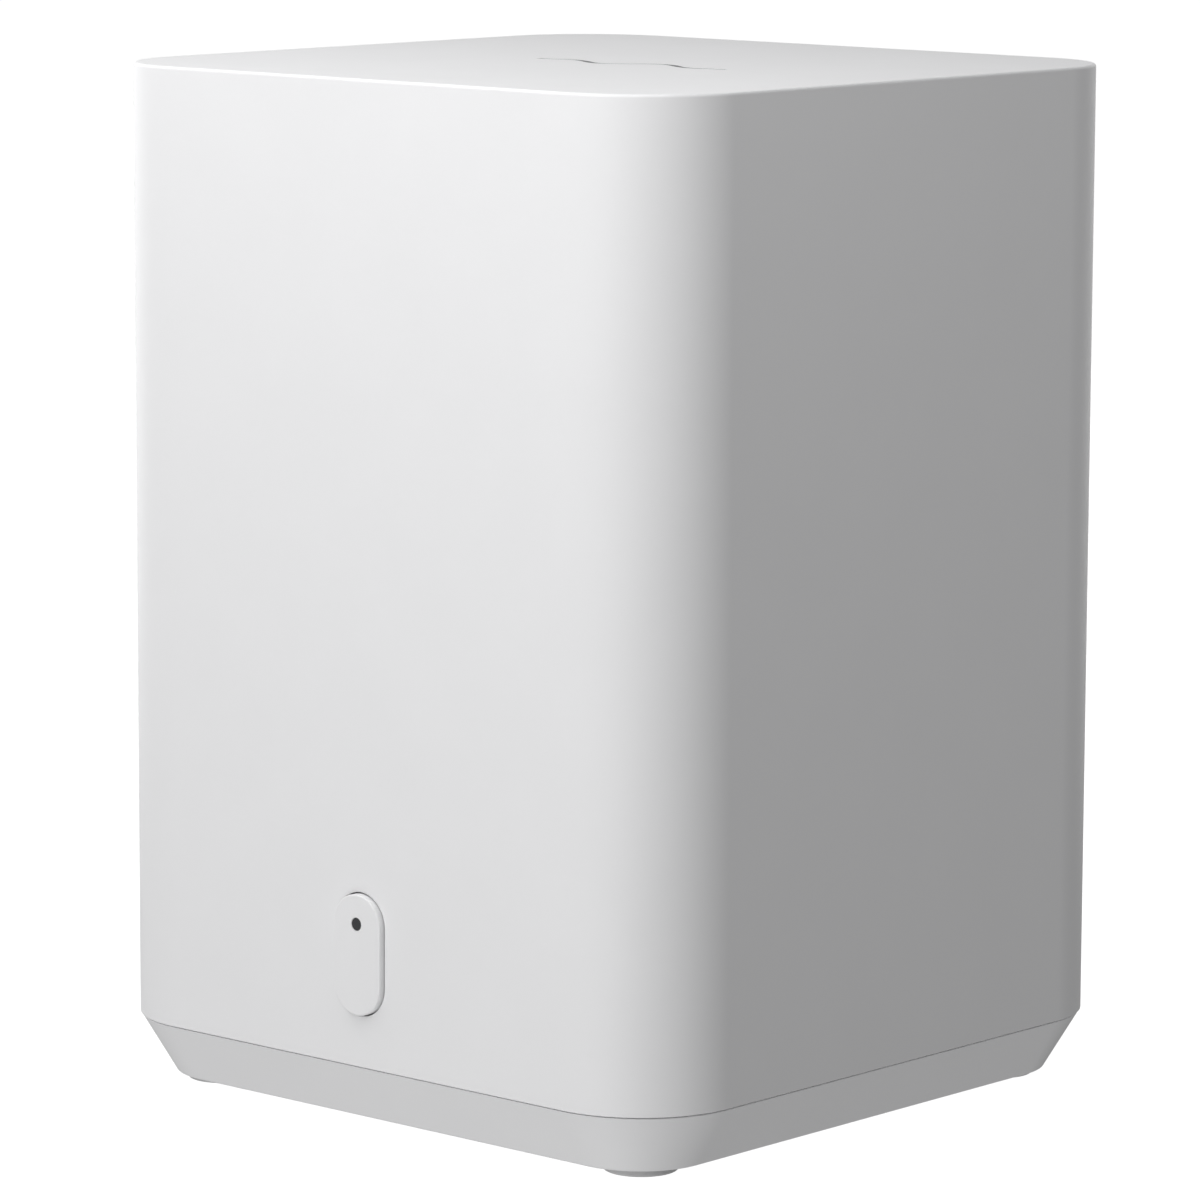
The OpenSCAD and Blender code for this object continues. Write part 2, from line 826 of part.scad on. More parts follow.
// Routes of the four coaxial leads, from the plug on the board up to the aerial's lower edge
plug_top = board_z + 2;
lead_left = [[-34.5, 0, plug_top], [-34.6, 0, 22], [-37, 0, 28], [-43, 0, 33], [-49, 0, 38], [-51.2, 0, 44],
    [-51.2, 0, 54], [-51, 0, 66], [-50.8, 0, 76], [-50.8, 0, aerial_z]];
lead_right = [for (p = lead_left) [-p[0], p[1], p[2]]];
lead_front = [[22, -32, plug_top], [22, -32.2, 22], [21.6, -35, 28], [20.5, -41, 33], [18.5, -47.5, 38],
    [16, -50.2, 44], [12, -50.2, 54], [6, -50, 66], [3.4, -49.8, 76], [3, -49.8, aerial_z]];
lead_rear = [[-8, 28, plug_top], [-8, 28.2, 24], [-8, 29.6, 33], [-8, 35, 38.4], [-8, 43, 40],
    [-7.8, 48.4, 41.4], [-7.2, 50.2, 46], [-5.5, 50.2, 56], [-3, 50, 68], [-2, 49.8, 76],
    [-2, 49.8, aerial_z]];

// A smooth curve through the route's points
function spline(p, i, t) =
    let (a = p[max(i - 1, 0)], b = p[i], c = p[i + 1], d = p[min(i + 2, len(p) - 1)])
    0.5 * (2 * b + (c - a) * t + (2 * a - 5 * b + 4 * c - d) * t * t + (3 * b - a - 3 * c + d) * t * t * t);
function smooth(p, steps) =
    concat([for (i = [0:len(p) - 2], s = [0:steps - 1]) spline(p, i, s / steps)], [p[len(p) - 1]]);
function unit(v) = v / norm(v);
function heading(p, i) = i == 0 || i == len(p) - 1 ? [0, 0, 1] : unit(p[i + 1] - p[i - 1]);

// A round tube swept along points that starts and ends straight up, with its ends closed flat
module tube(points, r, sides) {
    rings = [for (i = [0:len(points) - 1])
        let (h = heading(points, i), u = unit(cross(h, [0.31, 0.87, 0.05])), v = cross(h, u))
        for (k = [0:sides - 1]) points[i] + r * (cos(360 * k / sides) * u + sin(360 * k / sides) * v)];
    last = (len(points) - 1) * sides;
    polyhedron(
        points = rings,
        faces = concat(
            [[for (k = [0:sides - 1]) k]],
            [[for (k = [sides - 1:-1:0]) last + k]],
            [for (i = [0:len(points) - 2], k = [0:sides - 1])
                let (a = i * sides + k, b = i * sides + (k + 1) % sides) [a, a + sides, b + sides]],
            [for (i = [0:len(points) - 2], k = [0:sides - 1])
                let (a = i * sides + k, b = i * sides + (k + 1) % sides) [a, b + sides, b]]));
}

module aerial_lead(route) {
    color("dimgray") tube(smooth(route, 4), lead_r, 8);
}

// ---------- Assembly ----------

housing();
top_mark();
base();
rubber_feet();
rating_label();
base_screws();
button_cap();
button_lens();
button_light_guide();
button_switch_plunger();
button_retainer();
button_switch();
status_led();
button_board();
button_board_screws();
button_cable();
cable_connectors();
port_panel();
for (n = [1:jack_count]) {
    ethernet_shell(n);
    ethernet_insert(n);
    ethernet_contacts(n);
}
power_inlet();
power_inlet_pin();
power_inlet_spring();
reset_plunger();
reset_switch();
main_board();
board_screws();
processor();
memory_chip();
flash_chip();
radio_chip([13, -2]);  // radio_chip_1
radio_chip([24, -2]);  // radio_chip_2
processor_shield();
radio_shield();
network_chip();
power_coils();
smoothing_capacitors();
thermal_pads();
heat_sink();
heat_sink_spacers();
heat_sink_screws();
inner_frame();
frame_screws();
aerial_left();
aerial_right();
aerial_front();
aerial_rear();
aerial_sockets();
aerial_plugs();
aerial_lead(lead_left);  // aerial_lead_left
aerial_lead(lead_right);  // aerial_lead_right
aerial_lead(lead_front);  // aerial_lead_front
aerial_lead(lead_rear);  // aerial_lead_rear
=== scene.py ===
"""Wireless router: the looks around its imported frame.

The casing, the pairing button, the rear connectors and the underside are modelled here as by hand. The
boards and the rest of the inside are the frame's own nodes. Everything is dressed in node materials.
Lengths are in metres, so a value written in millimetres is multiplied by MM.
"""

from __future__ import annotations

import json
import logging
import math
from collections.abc import Callable, Iterable, Iterator, Sequence
from contextlib import contextmanager
from dataclasses import dataclass, field
from enum import Enum

import bmesh
import bpy
from mathutils import Matrix, Vector

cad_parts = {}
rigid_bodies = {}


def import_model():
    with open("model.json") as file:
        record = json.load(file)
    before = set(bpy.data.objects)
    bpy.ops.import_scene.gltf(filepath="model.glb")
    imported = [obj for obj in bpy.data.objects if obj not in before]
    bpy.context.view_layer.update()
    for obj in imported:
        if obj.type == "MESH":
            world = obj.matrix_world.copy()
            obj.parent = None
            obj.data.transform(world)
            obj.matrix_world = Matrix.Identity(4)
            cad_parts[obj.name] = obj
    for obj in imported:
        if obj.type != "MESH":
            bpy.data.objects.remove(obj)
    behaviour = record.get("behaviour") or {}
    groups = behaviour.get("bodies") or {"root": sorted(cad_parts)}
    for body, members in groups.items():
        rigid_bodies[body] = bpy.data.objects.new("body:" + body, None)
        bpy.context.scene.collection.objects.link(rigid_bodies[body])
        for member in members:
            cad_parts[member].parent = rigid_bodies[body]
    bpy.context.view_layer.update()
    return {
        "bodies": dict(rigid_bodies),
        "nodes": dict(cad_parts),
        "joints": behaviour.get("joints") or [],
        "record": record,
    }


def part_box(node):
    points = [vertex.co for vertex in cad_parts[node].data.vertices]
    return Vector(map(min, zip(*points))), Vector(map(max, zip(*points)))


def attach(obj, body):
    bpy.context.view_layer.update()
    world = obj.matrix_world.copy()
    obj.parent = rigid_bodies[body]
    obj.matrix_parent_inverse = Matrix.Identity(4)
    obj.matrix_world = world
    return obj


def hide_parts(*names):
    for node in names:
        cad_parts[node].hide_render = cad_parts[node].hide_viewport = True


MM = 0.001
TOUCH = 0.02 * MM  # Points closer than this lie in one plane.
PAST = 1 * MM  # How far a cutter reaches past the face that it cuts.
SHARP = 1.0  # The least turn between two faces at a rim, in radians.
SMOOTH_ANGLE = math.radians(36)
CASING, BUTTON, RESET = "casing", "front_button", "reset_button"

Piece = bpy.types.Object
Tree = bpy.types.NodeTree
Socket = bpy.types.NodeSocket
EdgeTest = Callable[[bmesh.types.BMEdge], bool]
PointTest = Callable[[Vector], bool]

log = logging.getLogger("router")


class Axis(Enum):
    """An axis, by its place in a vector."""

    X = 0
    Y = 1
    Z = 2


class Kind(Enum):
    """A kind of mesh element, by its list in an edit mesh."""

    EDGE = "edges"
    FACE = "faces"


class Work(Enum):
    """What one solid does to another, by its name in the Boolean modifier."""

    ADD = "UNION"
    TAKE = "DIFFERENCE"


# ---------- Modelling by hand ----------


def at(x: float, y: float, z: float) -> Vector:
    """A point or a shift."""
    return Vector((x, y, z))


def clear_selection() -> None:
    """Leaves edit mode and deselects everything."""
    if bpy.context.object and bpy.context.object.mode != "OBJECT":
        bpy.ops.object.mode_set(mode="OBJECT")
    bpy.ops.object.select_all(action="DESELECT")


def activate(piece: Piece) -> None:
    """Selects one object alone and makes it the active one."""
    clear_selection()
    piece.select_set(True)
    bpy.context.view_layer.objects.active = piece


def settle(piece: Piece) -> None:
    """Moves an object's place, turn and scale into its mesh."""
    activate(piece)
    bpy.ops.object.transform_apply(location=True, rotation=True, scale=True)


@contextmanager
def editing(piece: Piece) -> Iterator[bmesh.types.BMesh]:
    """Opens a mesh in edit mode with nothing selected.

    Args:
        piece: The object to edit.

    Yields:
        The edit mesh, in which the caller selects elements before it calls an operator.
    """
    activate(piece)
    bpy.ops.object.mode_set(mode="EDIT")
    bpy.ops.mesh.select_all(action="DESELECT")
    yield bmesh.from_edit_mesh(piece.data)
    bpy.ops.object.mode_set(mode="OBJECT")


def pick(mesh: bmesh.types.BMesh, kind: Kind, test: Callable[..., bool]) -> None:
    """Selects what passes a test in an open edit mesh.

    Args:
        mesh: The edit mesh.
        kind: The kind of element to look at.
        test: The test of one element.
    """
    bpy.ops.mesh.select_mode(type=kind.name)
    for element in getattr(mesh, kind.value):
        element.select_set(test(element))
    mesh.select_flush_mode()
    bmesh.update_edit_mesh(bpy.context.object.data)


def runs_along(axis: Axis) -> EdgeTest:
    """A test for edges that are parallel to an axis."""

    def test(edge: bmesh.types.BMEdge) -> bool:
        """Whether the edge is parallel to it."""
        span = edge.verts[1].co - edge.verts[0].co
        return abs(span[axis.value]) > 0.999 * span.length

    return test


def lies_at(axis: Axis, place: float) -> EdgeTest:
    """A test for edges that lie in the plane across an axis at a place."""
    return lambda edge: all(abs(vert.co[axis.value] - place) < TOUCH for vert in edge.verts)


def sharp_at(axis: Axis, place: float, within: PointTest | None = None) -> EdgeTest:
    """A test for the sharp edges in the plane across an axis, such as the rims of openings.

    Args:
        axis: The axis that the plane lies across.
        place: The plane's place on that axis.
        within: A test that both ends of an edge pass, if only a region is meant.

    Returns:
        The test.
    """
    in_plane = lies_at(axis, place)

    def test(edge: bmesh.types.BMEdge) -> bool:
        """Whether the edge is a rim there."""
        near = in_plane(edge) and (within is None or all(within(vert.co) for vert in edge.verts))
        return near and edge.calc_face_angle(0) > SHARP

    return test


def between(low: Vector, high: Vector) -> PointTest:
    """A test for points that are between two corners, as seen from the front or the rear."""
    return lambda spot: low.x < spot.x < high.x and low.z < spot.z < high.z


def round_edges(piece: Piece, test: EdgeTest, radius: float, segments: int) -> None:
    """Bevels edges into a round.

    Args:
        piece: The object to edit.
        test: The test that the edges pass.
        radius: The round's radius.
        segments: The faces across the round.
    """
    with editing(piece) as mesh:
        pick(mesh, Kind.EDGE, test)
        bpy.ops.mesh.bevel(offset=radius, segments=segments, affect="EDGES", clamp_overlap=False)


def draw_in(piece: Piece, normal: Vector, inset: float, depth: float) -> None:
    """Insets the faces that look one way and pushes them out or in.

    Args:
        piece: The object to edit.
        normal: The way the faces look.
        inset: How far their outline draws in.
        depth: How far they move outwards, or inwards if it is negative.
    """
    with editing(piece) as mesh:
        pick(mesh, Kind.FACE, lambda face: face.normal.dot(normal) > 0.99)
        bpy.ops.mesh.inset(thickness=inset, depth=depth, use_even_offset=True)


def merge(piece: Piece, distance: float) -> None:
    """Merges the points that meet and turns the faces outwards.

    Args:
        piece: The object to edit.
        distance: The widest gap that is closed.
    """
    with editing(piece):
        bpy.ops.mesh.select_all(action="SELECT")
        bpy.ops.mesh.remove_doubles(threshold=distance)
        bpy.ops.mesh.normals_make_consistent(inside=False)


def block(name: str, low: Vector, high: Vector) -> Piece:
    """A straight block.

    Args:
        name: The new object's name.
        low: Its lowest corner.
        high: Its highest corner.

    Returns:
        The new object.
    """
    clear_selection()
    bpy.ops.mesh.primitive_cube_add(size=1, location=(low + high) / 2)
    piece = bpy.context.object
    piece.name = name
    piece.scale = high - low
    settle(piece)
    return piece


def round_block(name: str, low: Vector, high: Vector, along: Axis, radius: float, segments: int = 12) -> Piece:
    """A block whose four edges along one axis are rounded. A radius of half its width makes a pill.

    Args:
        name: The new object's name.
        low: Its lowest corner.
        high: Its highest corner.
        along: The axis that the rounded edges run along.
        radius: The radius of the rounded edges.
        segments: The faces in each quarter turn.

    Returns:
        The new object.
    """
    piece = block(name, low, high)
    sides = [abs(high[a.value] - low[a.value]) for a in Axis if a is not along]
    round_edges(piece, runs_along(along), min(radius, 0.4999 * min(sides)), segments)
    merge(piece, TOUCH / 4)
    return piece


def rod(name: str, start: Vector, end: Vector, radius: float, sides: int = 48) -> Piece:
    """A round rod.

    Args:
        name: The new object's name.
        start: The middle of its first end.
        end: The middle of its other end.
        radius: Its radius.
        sides: The faces round it.

    Returns:
        The new object.
    """
    clear_selection()
    span, middle = end - start, (start + end) / 2
    bpy.ops.mesh.primitive_cylinder_add(vertices=sides, radius=radius, depth=span.length, location=middle)
    piece = bpy.context.object
    piece.name = name
    piece.rotation_mode = "QUATERNION"
    piece.rotation_quaternion = span.to_track_quat("Z", "Y")
    settle(piece)
    return piece


def peg(name: str, spot: Vector, front: float, rear: float, radius: float, sides: int = 48) -> Piece:
    """A rod through a point, from one place to another between the front and the rear."""
    return rod(name, at(spot.x, front, spot.z), at(spot.x, rear, spot.z), radius, sides)


def curve_mesh(name: str, lines: Sequence[Sequence[Vector]], closed: bool, **settings: object) -> Piece:
    """A mesh made from a curve with straight segments.

    Args:
        name: The new object's name.
        lines: The points of each line.
        closed: Whether the lines close.
        **settings: The curve's own properties.

    Returns:
        The new object.
    """
    curve = bpy.data.curves.new(name, "CURVE")
    for key, value in settings.items():
        setattr(curve, key, value)
    for line in lines:
        spline = curve.splines.new("POLY")
        spline.points.add(len(line) - 1)
        for knot, place in zip(spline.points, line):
            knot.co = (*place, 1)
        spline.use_cyclic_u = closed
    piece = bpy.data.objects.new(name, curve)
    bpy.context.collection.objects.link(piece)
    activate(piece)
    bpy.ops.object.convert(target="MESH")
    merge(bpy.context.object, TOUCH / 8)
    return bpy.context.object


def apply_modifier(piece: Piece, kind: str, **settings: object) -> None:
    """Adds a modifier and applies it.

    Args:
        piece: The object to change.
        kind: The modifier's type.
        **settings: The modifier's own properties.
    """
    activate(piece)
    bpy.ops.object.modifier_add(type=kind)
    modifier = piece.modifiers[-1]
    for key, value in settings.items():
        setattr(modifier, key, value)
    bpy.ops.object.modifier_apply(modifier=modifier.name)


def join(name: str, pieces: Sequence[Piece]) -> Piece:
    """Joins objects into one.

    Args:
        name: The name of the whole.
        pieces: The objects.

    Returns:
        The whole, which is the first of them.
    """
    activate(pieces[0])
    for piece in pieces:
        piece.select_set(True)
    if len(pieces) > 1:
        bpy.ops.object.join()
    pieces[0].name = name
    return pieces[0]


def combine(piece: Piece, others: Sequence[Piece], work: Work) -> None:
    """Adds other solids to a piece, or takes them away, and removes them.

    Args:
        piece: The solid to change.
        others: The solids to add or take away. They may overlap each other.
        work: Whether they are added or taken away.
    """
    tool = join("tool", others)
    apply_modifier(piece, "BOOLEAN", operation=work.value, solver="EXACT", object=tool, use_self=True)
    spent = tool.data
    bpy.data.objects.remove(tool)
    bpy.data.meshes.remove(spent)


def carve(piece: Piece, cutters: Sequence[Piece]) -> None:
    """Takes solids away from a piece."""
    combine(piece, cutters, Work.TAKE)


def weld(piece: Piece, additions: Sequence[Piece]) -> None:
    """Adds solids to a piece."""
    combine(piece, additions, Work.ADD)


def smooth(piece: Piece) -> Piece:
    """Shades a piece's rounds smooth, keeps its flat faces flat, and hands it back."""
    activate(piece)
    bpy.ops.object.shade_smooth_by_angle(angle=SMOOTH_ANGLE)
    apply_modifier(piece, "WEIGHTED_NORMAL", mode="FACE_AREA", weight=100, keep_sharp=True)
    return piece


def copy_to(piece: Piece, shift: Vector) -> Piece:
    """A copy of a piece with its own mesh, moved by a shift."""
    twin = piece.copy()
    twin.data = piece.data.copy()
    twin.data.transform(Matrix.Translation(shift))
    bpy.context.collection.objects.link(twin)
    return twin


def places_of(node: str, inset: float) -> list[Vector]:
    """The places of a node's four solids, such as screws or feet, on the plane of the table.

    Args:
        node: The frame's node.
        inset: How far the solids' middles are inside the node's box.

    Returns:
        The four places.
    """
    low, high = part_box(node)
    return [at(x, y, 0) for x in (low.x + inset, high.x - inset) for y in (low.y + inset, high.y - inset)]


def fit(piece: Piece, body: str, finish: bpy.types.Material, nodes: Iterable[str] = ()) -> Piece:
    """Finishes a piece: gives it its material and body, and hides the nodes that it stands for.

    Args:
        piece: The finished object.
        body: The body it rides on.
        finish: The material, kept back if the piece already has materials.
        nodes: The frame's nodes that it replaces.

    Returns:
        The piece.
    """
    if not piece.data.materials:
        piece.data.materials.append(finish)
    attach(piece, body)
    if nodes:
        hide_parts(*nodes)
    log.info("%s: %d faces on %s", piece.name, len(piece.data.polygons), body)
    return piece


# ---------- Finishes ----------


def srgb(colour: str) -> tuple[float, float, float, float]:
    """The linear colour of an sRGB hex value such as F2F2F2."""
    parts = [int(colour[i : i + 2], 16) / 255 for i in (0, 2, 4)]
    red, green, blue = (c / 12.92 if c <= 0.04045 else ((c + 0.055) / 1.055) ** 2.4 for c in parts)
    return red, green, blue, 1.0


def empty_tree(owner: bpy.types.Material | bpy.types.World) -> Tree:
    """The node tree of a material or world, emptied."""
    owner.use_nodes = True
    owner.node_tree.nodes.clear()
    return owner.node_tree


def add_node(
    tree: Tree,
    kind: str,
    inputs: dict[str | int, object] | None = None,
    stops: Sequence[tuple[float, str]] = (),
    **settings: object,
) -> bpy.types.Node:
    """Adds a node with its settings, and sets or links its inputs.

    Args:
        tree: The node tree.
        kind: The node's type, without its ShaderNode prefix.
        inputs: Values or output sockets, by the input's name or number.
        stops: Places and hex colours, where the node has a colour ramp.
        **settings: The node's own properties.

    Returns:
        The new node.
    """
    made = tree.nodes.new("ShaderNode" + kind)
    for key, value in settings.items():
        setattr(made, key, value)
    for key, value in (inputs or {}).items():
        if isinstance(value, Socket):
            tree.links.new(value, made.inputs[key])
        else:
            made.inputs[key].default_value = value
    for i, (place, colour) in enumerate(stops):
        made.color_ramp.elements[i].position = place
        made.color_ramp.elements[i].color = srgb(colour)
    return made


@dataclass(frozen=True)
class Finish:
    """A surface as it is made: two close tones in soft clouds over a fine relief.

    The relief is a noise whose grain is given in millimetres, as a spark-eroded mould leaves it.
    """

    name: str
    colour: str
    shade: str
    roughness: float
    grain_mm: float = 0.35
    relief_mm: float = 0.004
    cloud_mm: float = 14.0
    ior: float = 1.5
    metallic: float = 0.0
    coat: float = 0.0
    coat_roughness: float = 0.08
    roughness_spread: float = 0.04
    stretch: tuple[float, float, float] = (1.0, 1.0, 1.0)

    def noise(self, tree: Tree, grain_mm: float, detail: float = 3.0) -> Socket:
        """A noise on the object's own coordinates.

        Args:
            tree: The node tree.
            grain_mm: The size of its grain in millimetres.
            detail: How many finer layers it has.

        Returns:
            Its value.
        """
        place = add_node(tree, "TexCoord").outputs["Object"]
        turned = add_node(tree, "Mapping", {"Vector": place, "Scale": self.stretch}).outputs["Vector"]
        scale = 1 / (grain_mm * MM)
        inputs = {"Vector": turned, "Scale": scale, "Detail": detail, "Roughness": 0.55}
        return add_node(tree, "TexNoise", inputs).outputs["Fac"]

    def tone(self, tree: Tree) -> Socket:
        """The surface's colour."""
        stops = (0.35, self.shade), (0.65, self.colour)
        return add_node(tree, "ValToRGB", {"Fac": self.noise(tree, self.cloud_mm)}, stops).outputs["Color"]

    def sheen(self, tree: Tree) -> Socket:
        """The surface's roughness, which wanders a little."""
        low, high = self.roughness - self.roughness_spread, self.roughness + self.roughness_spread
        wander = {"Value": self.noise(tree, self.grain_mm * 6), "To Min": low, "To Max": high}
        return add_node(tree, "MapRange", wander).outputs["Result"]

    def build(self) -> bpy.types.Material:
        """Makes the node material."""
        material = bpy.data.materials.new(self.name)
        tree = empty_tree(material)
        height = self.noise(tree, self.grain_mm, detail=2.0)
        relief = add_node(tree, "Bump", {"Height": height, "Distance": self.relief_mm * MM, "Strength": 1.0})
        look = {
            "Base Color": self.tone(tree),
            "Roughness": self.sheen(tree),
            "Normal": relief.outputs["Normal"],
            "Metallic": self.metallic,
            "IOR": self.ior,
            "Coat Weight": self.coat,
            "Coat Roughness": self.coat_roughness,
        }
        surface = add_node(tree, "BsdfPrincipled", look)
        add_node(tree, "OutputMaterial", {"Surface": surface.outputs["BSDF"]})
        return material


@dataclass(frozen=True)
class BoardFinish(Finish):
    """Solder resist over copper: darker gaps between rectangular tracks, and small tinned vias."""

    gap_colour: str = "0A2A16"
    via_colour: str = "B9B48A"
    track_mm: float = 2.6
    track_share: float = 0.46
    via_mm: float = 3.4
    via_share: float = 0.09

    def cells(self, tree: Tree, size_mm: float, distance: str) -> Socket:
        """Distances in a cell pattern.

        Args:
            tree: The node tree.
            size_mm: The cells' size in millimetres.
            distance: How the distance is measured, which gives the cells' shape.

        Returns:
            The distance from the middle of a cell.
        """
        place = {"Vector": add_node(tree, "TexCoord").outputs["Object"], "Scale": 1 / (size_mm * MM)}
        return add_node(tree, "TexVoronoi", place, feature="F1", distance=distance).outputs["Distance"]

    def tone(self, tree: Tree) -> Socket:
        """Tracks, gaps and vias."""
        stops = (0.0, self.colour), (self.track_share, self.gap_colour)
        tracks = add_node(tree, "ValToRGB", {"Fac": self.cells(tree, self.track_mm, "CHEBYCHEV")}, stops)
        tracks.color_ramp.interpolation = "CONSTANT"
        spots = {0: self.cells(tree, self.via_mm, "EUCLIDEAN"), 1: self.via_share}
        vias = add_node(tree, "Math", spots, operation="LESS_THAN").outputs["Value"]
        layers = {"Factor": vias, 6: tracks.outputs["Color"], 7: srgb(self.via_colour)}
        return add_node(tree, "Mix", layers, data_type="RGBA").outputs[2]


@dataclass(frozen=True)
class StripedFinish(Finish):
    """Thin conductors side by side under a clear film."""

    stripe_mm: float = 1.0
    stripe_colour: str = "8E8A7C"

    def tone(self, tree: Tree) -> Socket:
        """Stripes across the width."""
        place = add_node(tree, "TexCoord").outputs["Object"]
        inputs = {"Vector": place, "Scale": 1 / (self.stripe_mm * MM) / 3.2, "Distortion": 0.0}
        bands = add_node(tree, "TexWave", inputs, bands_direction="X").outputs["Fac"]
        stops = (0.4, self.colour), (0.6, self.stripe_colour)
        return add_node(tree, "ValToRGB", {"Fac": bands}, stops).outputs["Color"]


@dataclass(frozen=True)
class LitFinish(Finish):
    """A clear lens with a lamp behind it, which glows faintly."""

    glow: float = 0.6

    def build(self) -> bpy.types.Material:
        """Makes the node material and adds the glow."""
        material = super().build()
        surface = next(n for n in material.node_tree.nodes if n.type == "BSDF_PRINCIPLED")
        surface.inputs["Emission Color"].default_value = srgb(self.colour)
        surface.inputs["Emission Strength"].default_value = self.glow
        return material


class Finishes:
    """Every finish of the router, built once and kept by its name."""

    ABS, METAL = {"ior": 1.53}, {"metallic": 1.0}
    POLISHED = {"relief_mm": 0.0005}
    RECIPES = (
        # White ABS from a spark-eroded mould: matt, with a grain that only shows close up.
        Finish("white_abs_housing", "EFEFF0", "EEEEEF", 0.48, grain_mm=0.45, relief_mm=0.006, **ABS),
        Finish("white_abs_base", "EEEEEF", "EDEDEE", 0.50, grain_mm=0.45, relief_mm=0.006, **ABS),
        # The button's mould is stoned finer, so it is a little smoother than the walls.
        Finish("white_abs_button", "F0F0F1", "EEEEEF", 0.40, grain_mm=0.3, relief_mm=0.002, **ABS),
        # The rear panel's ABS is a shade greyer, from a coarser mould.
        Finish("white_abs_panel", "E4E4E5", "E1E1E2", 0.55, grain_mm=0.5, relief_mm=0.008, **ABS),
        # Pad-printed ink in a shallow groove: flat and grey.
        # Grey fill in the roof's shallow groove and in the panel's sunk signs, darker than the white round it:
        # flat and grey.
        Finish("grey_pad_ink", "757577", "6F6F71", 0.62, grain_mm=0.2, relief_mm=0.003),
        # Smoked polycarbonate over the indicator, polished.
        Finish("smoked_polycarbonate", "3C3C3E", "363638", 0.22, ior=1.585, coat=0.2, **POLISHED),
        # Pale grey silicone rubber from a blasted mould: dull, with a bloom in soft patches.
        Finish("silicone_rubber", "C6C6C7", "BEBEBF", 0.78, 0.5, 0.02, 5, ior=1.41),
        # Silver polyester label: satin, with a faint drawn grain along its length.
        Finish("polyester_label", "C4C6C8", "BCBEC0", 0.38, 0.6, 0.002, stretch=(0.05, 1, 1)),
        # Tin-plated steel sheet, pressed: bright, with soft rolling marks.
        Finish("tinned_sheet", "C9C8C4", "B4B3AF", 0.28, 0.5, 0.003, stretch=(1, 0.08, 1), **METAL),
        # Zinc-plated steel screws, slightly yellowish.
        Finish("zinc_plate", "B9B8B0", "A5A49C", 0.36, 0.3, 0.004, 1.5, **METAL),
        # Gold over nickel on the contacts: smooth and warm.
        Finish("gold_plate", "E8C070", "DDB25E", 0.24, 0.25, 0.001, 2, **METAL),
        # Glass-filled black nylon: satin, with fibres that dull it in specks.
        Finish("black_nylon", "1E1E20", "161618", 0.46, 0.25, 0.006, 3, **ABS),
        # Black epoxy of chip packages: matt, very fine.
        Finish("chip_epoxy", "1B1B1D", "151516", 0.58, 0.15, 0.003, 2),
        # Extruded aluminium with a clear anodised skin: fine lines along the fins.
        Finish("anodised_aluminium", "D3D5D8", "C2C4C7", 0.34, 0.5, 0.006, stretch=(1, 0.04, 1), **METAL),
        # Mid-grey ABS of the inner cage: dull, from a coarse mould that nobody polishes.
        Finish("grey_abs_frame", "8E9093", "87898C", 0.58, grain_mm=0.5, relief_mm=0.01, **ABS),
        # Clear acrylic of the light guide: polished, with a faint cool tint in its depth.
        Finish("clear_acrylic", "DCEBEE", "D2E4E8", 0.12, ior=1.49, coat=0.4, **POLISHED),
        # Soft silicone pads under the heat sink: chalky and dimpled.
        Finish("silicone_pad", "8FA9BE", "829DB3", 0.75, 0.4, 0.02, 3),
        # Shrunk vinyl sleeve round a capacitor's can: dark blue and glossy.
        Finish("shrink_sleeve", "1C2A44", "16223A", 0.25, 0.6, 0.002, coat=0.3),
        # Extruded fluoropolymer jacket of the aerial leads: dark, with a waxy gloss.
        Finish("lead_jacket", "2B2B2D", "232325", 0.40, grain_mm=0.3, relief_mm=0.002),
        # Yellowish cast epoxy over the indicator's light source: glossy.
        Finish("led_epoxy", "F1E7B4", "E9DEA6", 0.15, coat=0.5, **POLISHED),
        # Natural nylon of the cable connectors: ivory and satin.
        Finish("connector_nylon", "E4DDC8", "D9D1BA", 0.48, 0.3, 0.004, 3),
        # Green solder resist on the boards: glossy over raised tracks.
        BoardFinish("solder_resist", "14532E", "124B29", 0.32, grain_mm=0.4, coat=0.3),
        # Aerial boards: broad bare copper fields between green resist.
        BoardFinish("aerial_laminate", "1B5A3A", "175034", 0.34, coat=0.2, gap_colour="A8763C", track_mm=7.0),
        # Flat flexible cable: tinned conductors that show through a clear film.
        StripedFinish("striped_film", "E9E5D6", "DDD8C6", 0.30, relief_mm=0.001),
        # Tinted clear lenses of the sockets' lamps: polished, with a faint glow.
        LitFinish("green_lamp", "3FBF5A", "38B152", 0.25, glow=0.35, **POLISHED),
        LitFinish("amber_lamp", "E39A2C", "D98F22", 0.25, glow=0.35, **POLISHED),
    )

    def __init__(self) -> None:
        """Builds every recipe."""
        self.built = {recipe.name: recipe.build() for recipe in self.RECIPES}

    def __getitem__(self, name: str) -> bpy.types.Material:
        """The material of that name."""
        return self.built[name]


# ---------- Shared outlines ----------


@dataclass(frozen=True)
class Plan:
    """Sizes that several pieces share."""

    corner: float = 16.3 * MM
    wall: float = 2.4 * MM
    corner_steps: int = 36
    cap_width: float = 9.1 * MM
    cap_height: float = 17.6 * MM
    cap_gap: float = 0.2 * MM
    window_width: float = 75.0 * MM
    window_low: float = 15.6 * MM
    window_high: float = 37.0 * MM
    window_corner: float = 3.0 * MM
    slot_pitch: float = 4.5 * MM
    slot_count: int = 13

    def slot_places(self) -> list[float]:
        """Places of the vent slots across the middle."""
        middle = (self.slot_count - 1) / 2
        return [(i - middle) * self.slot_pitch for i in range(self.slot_count)]


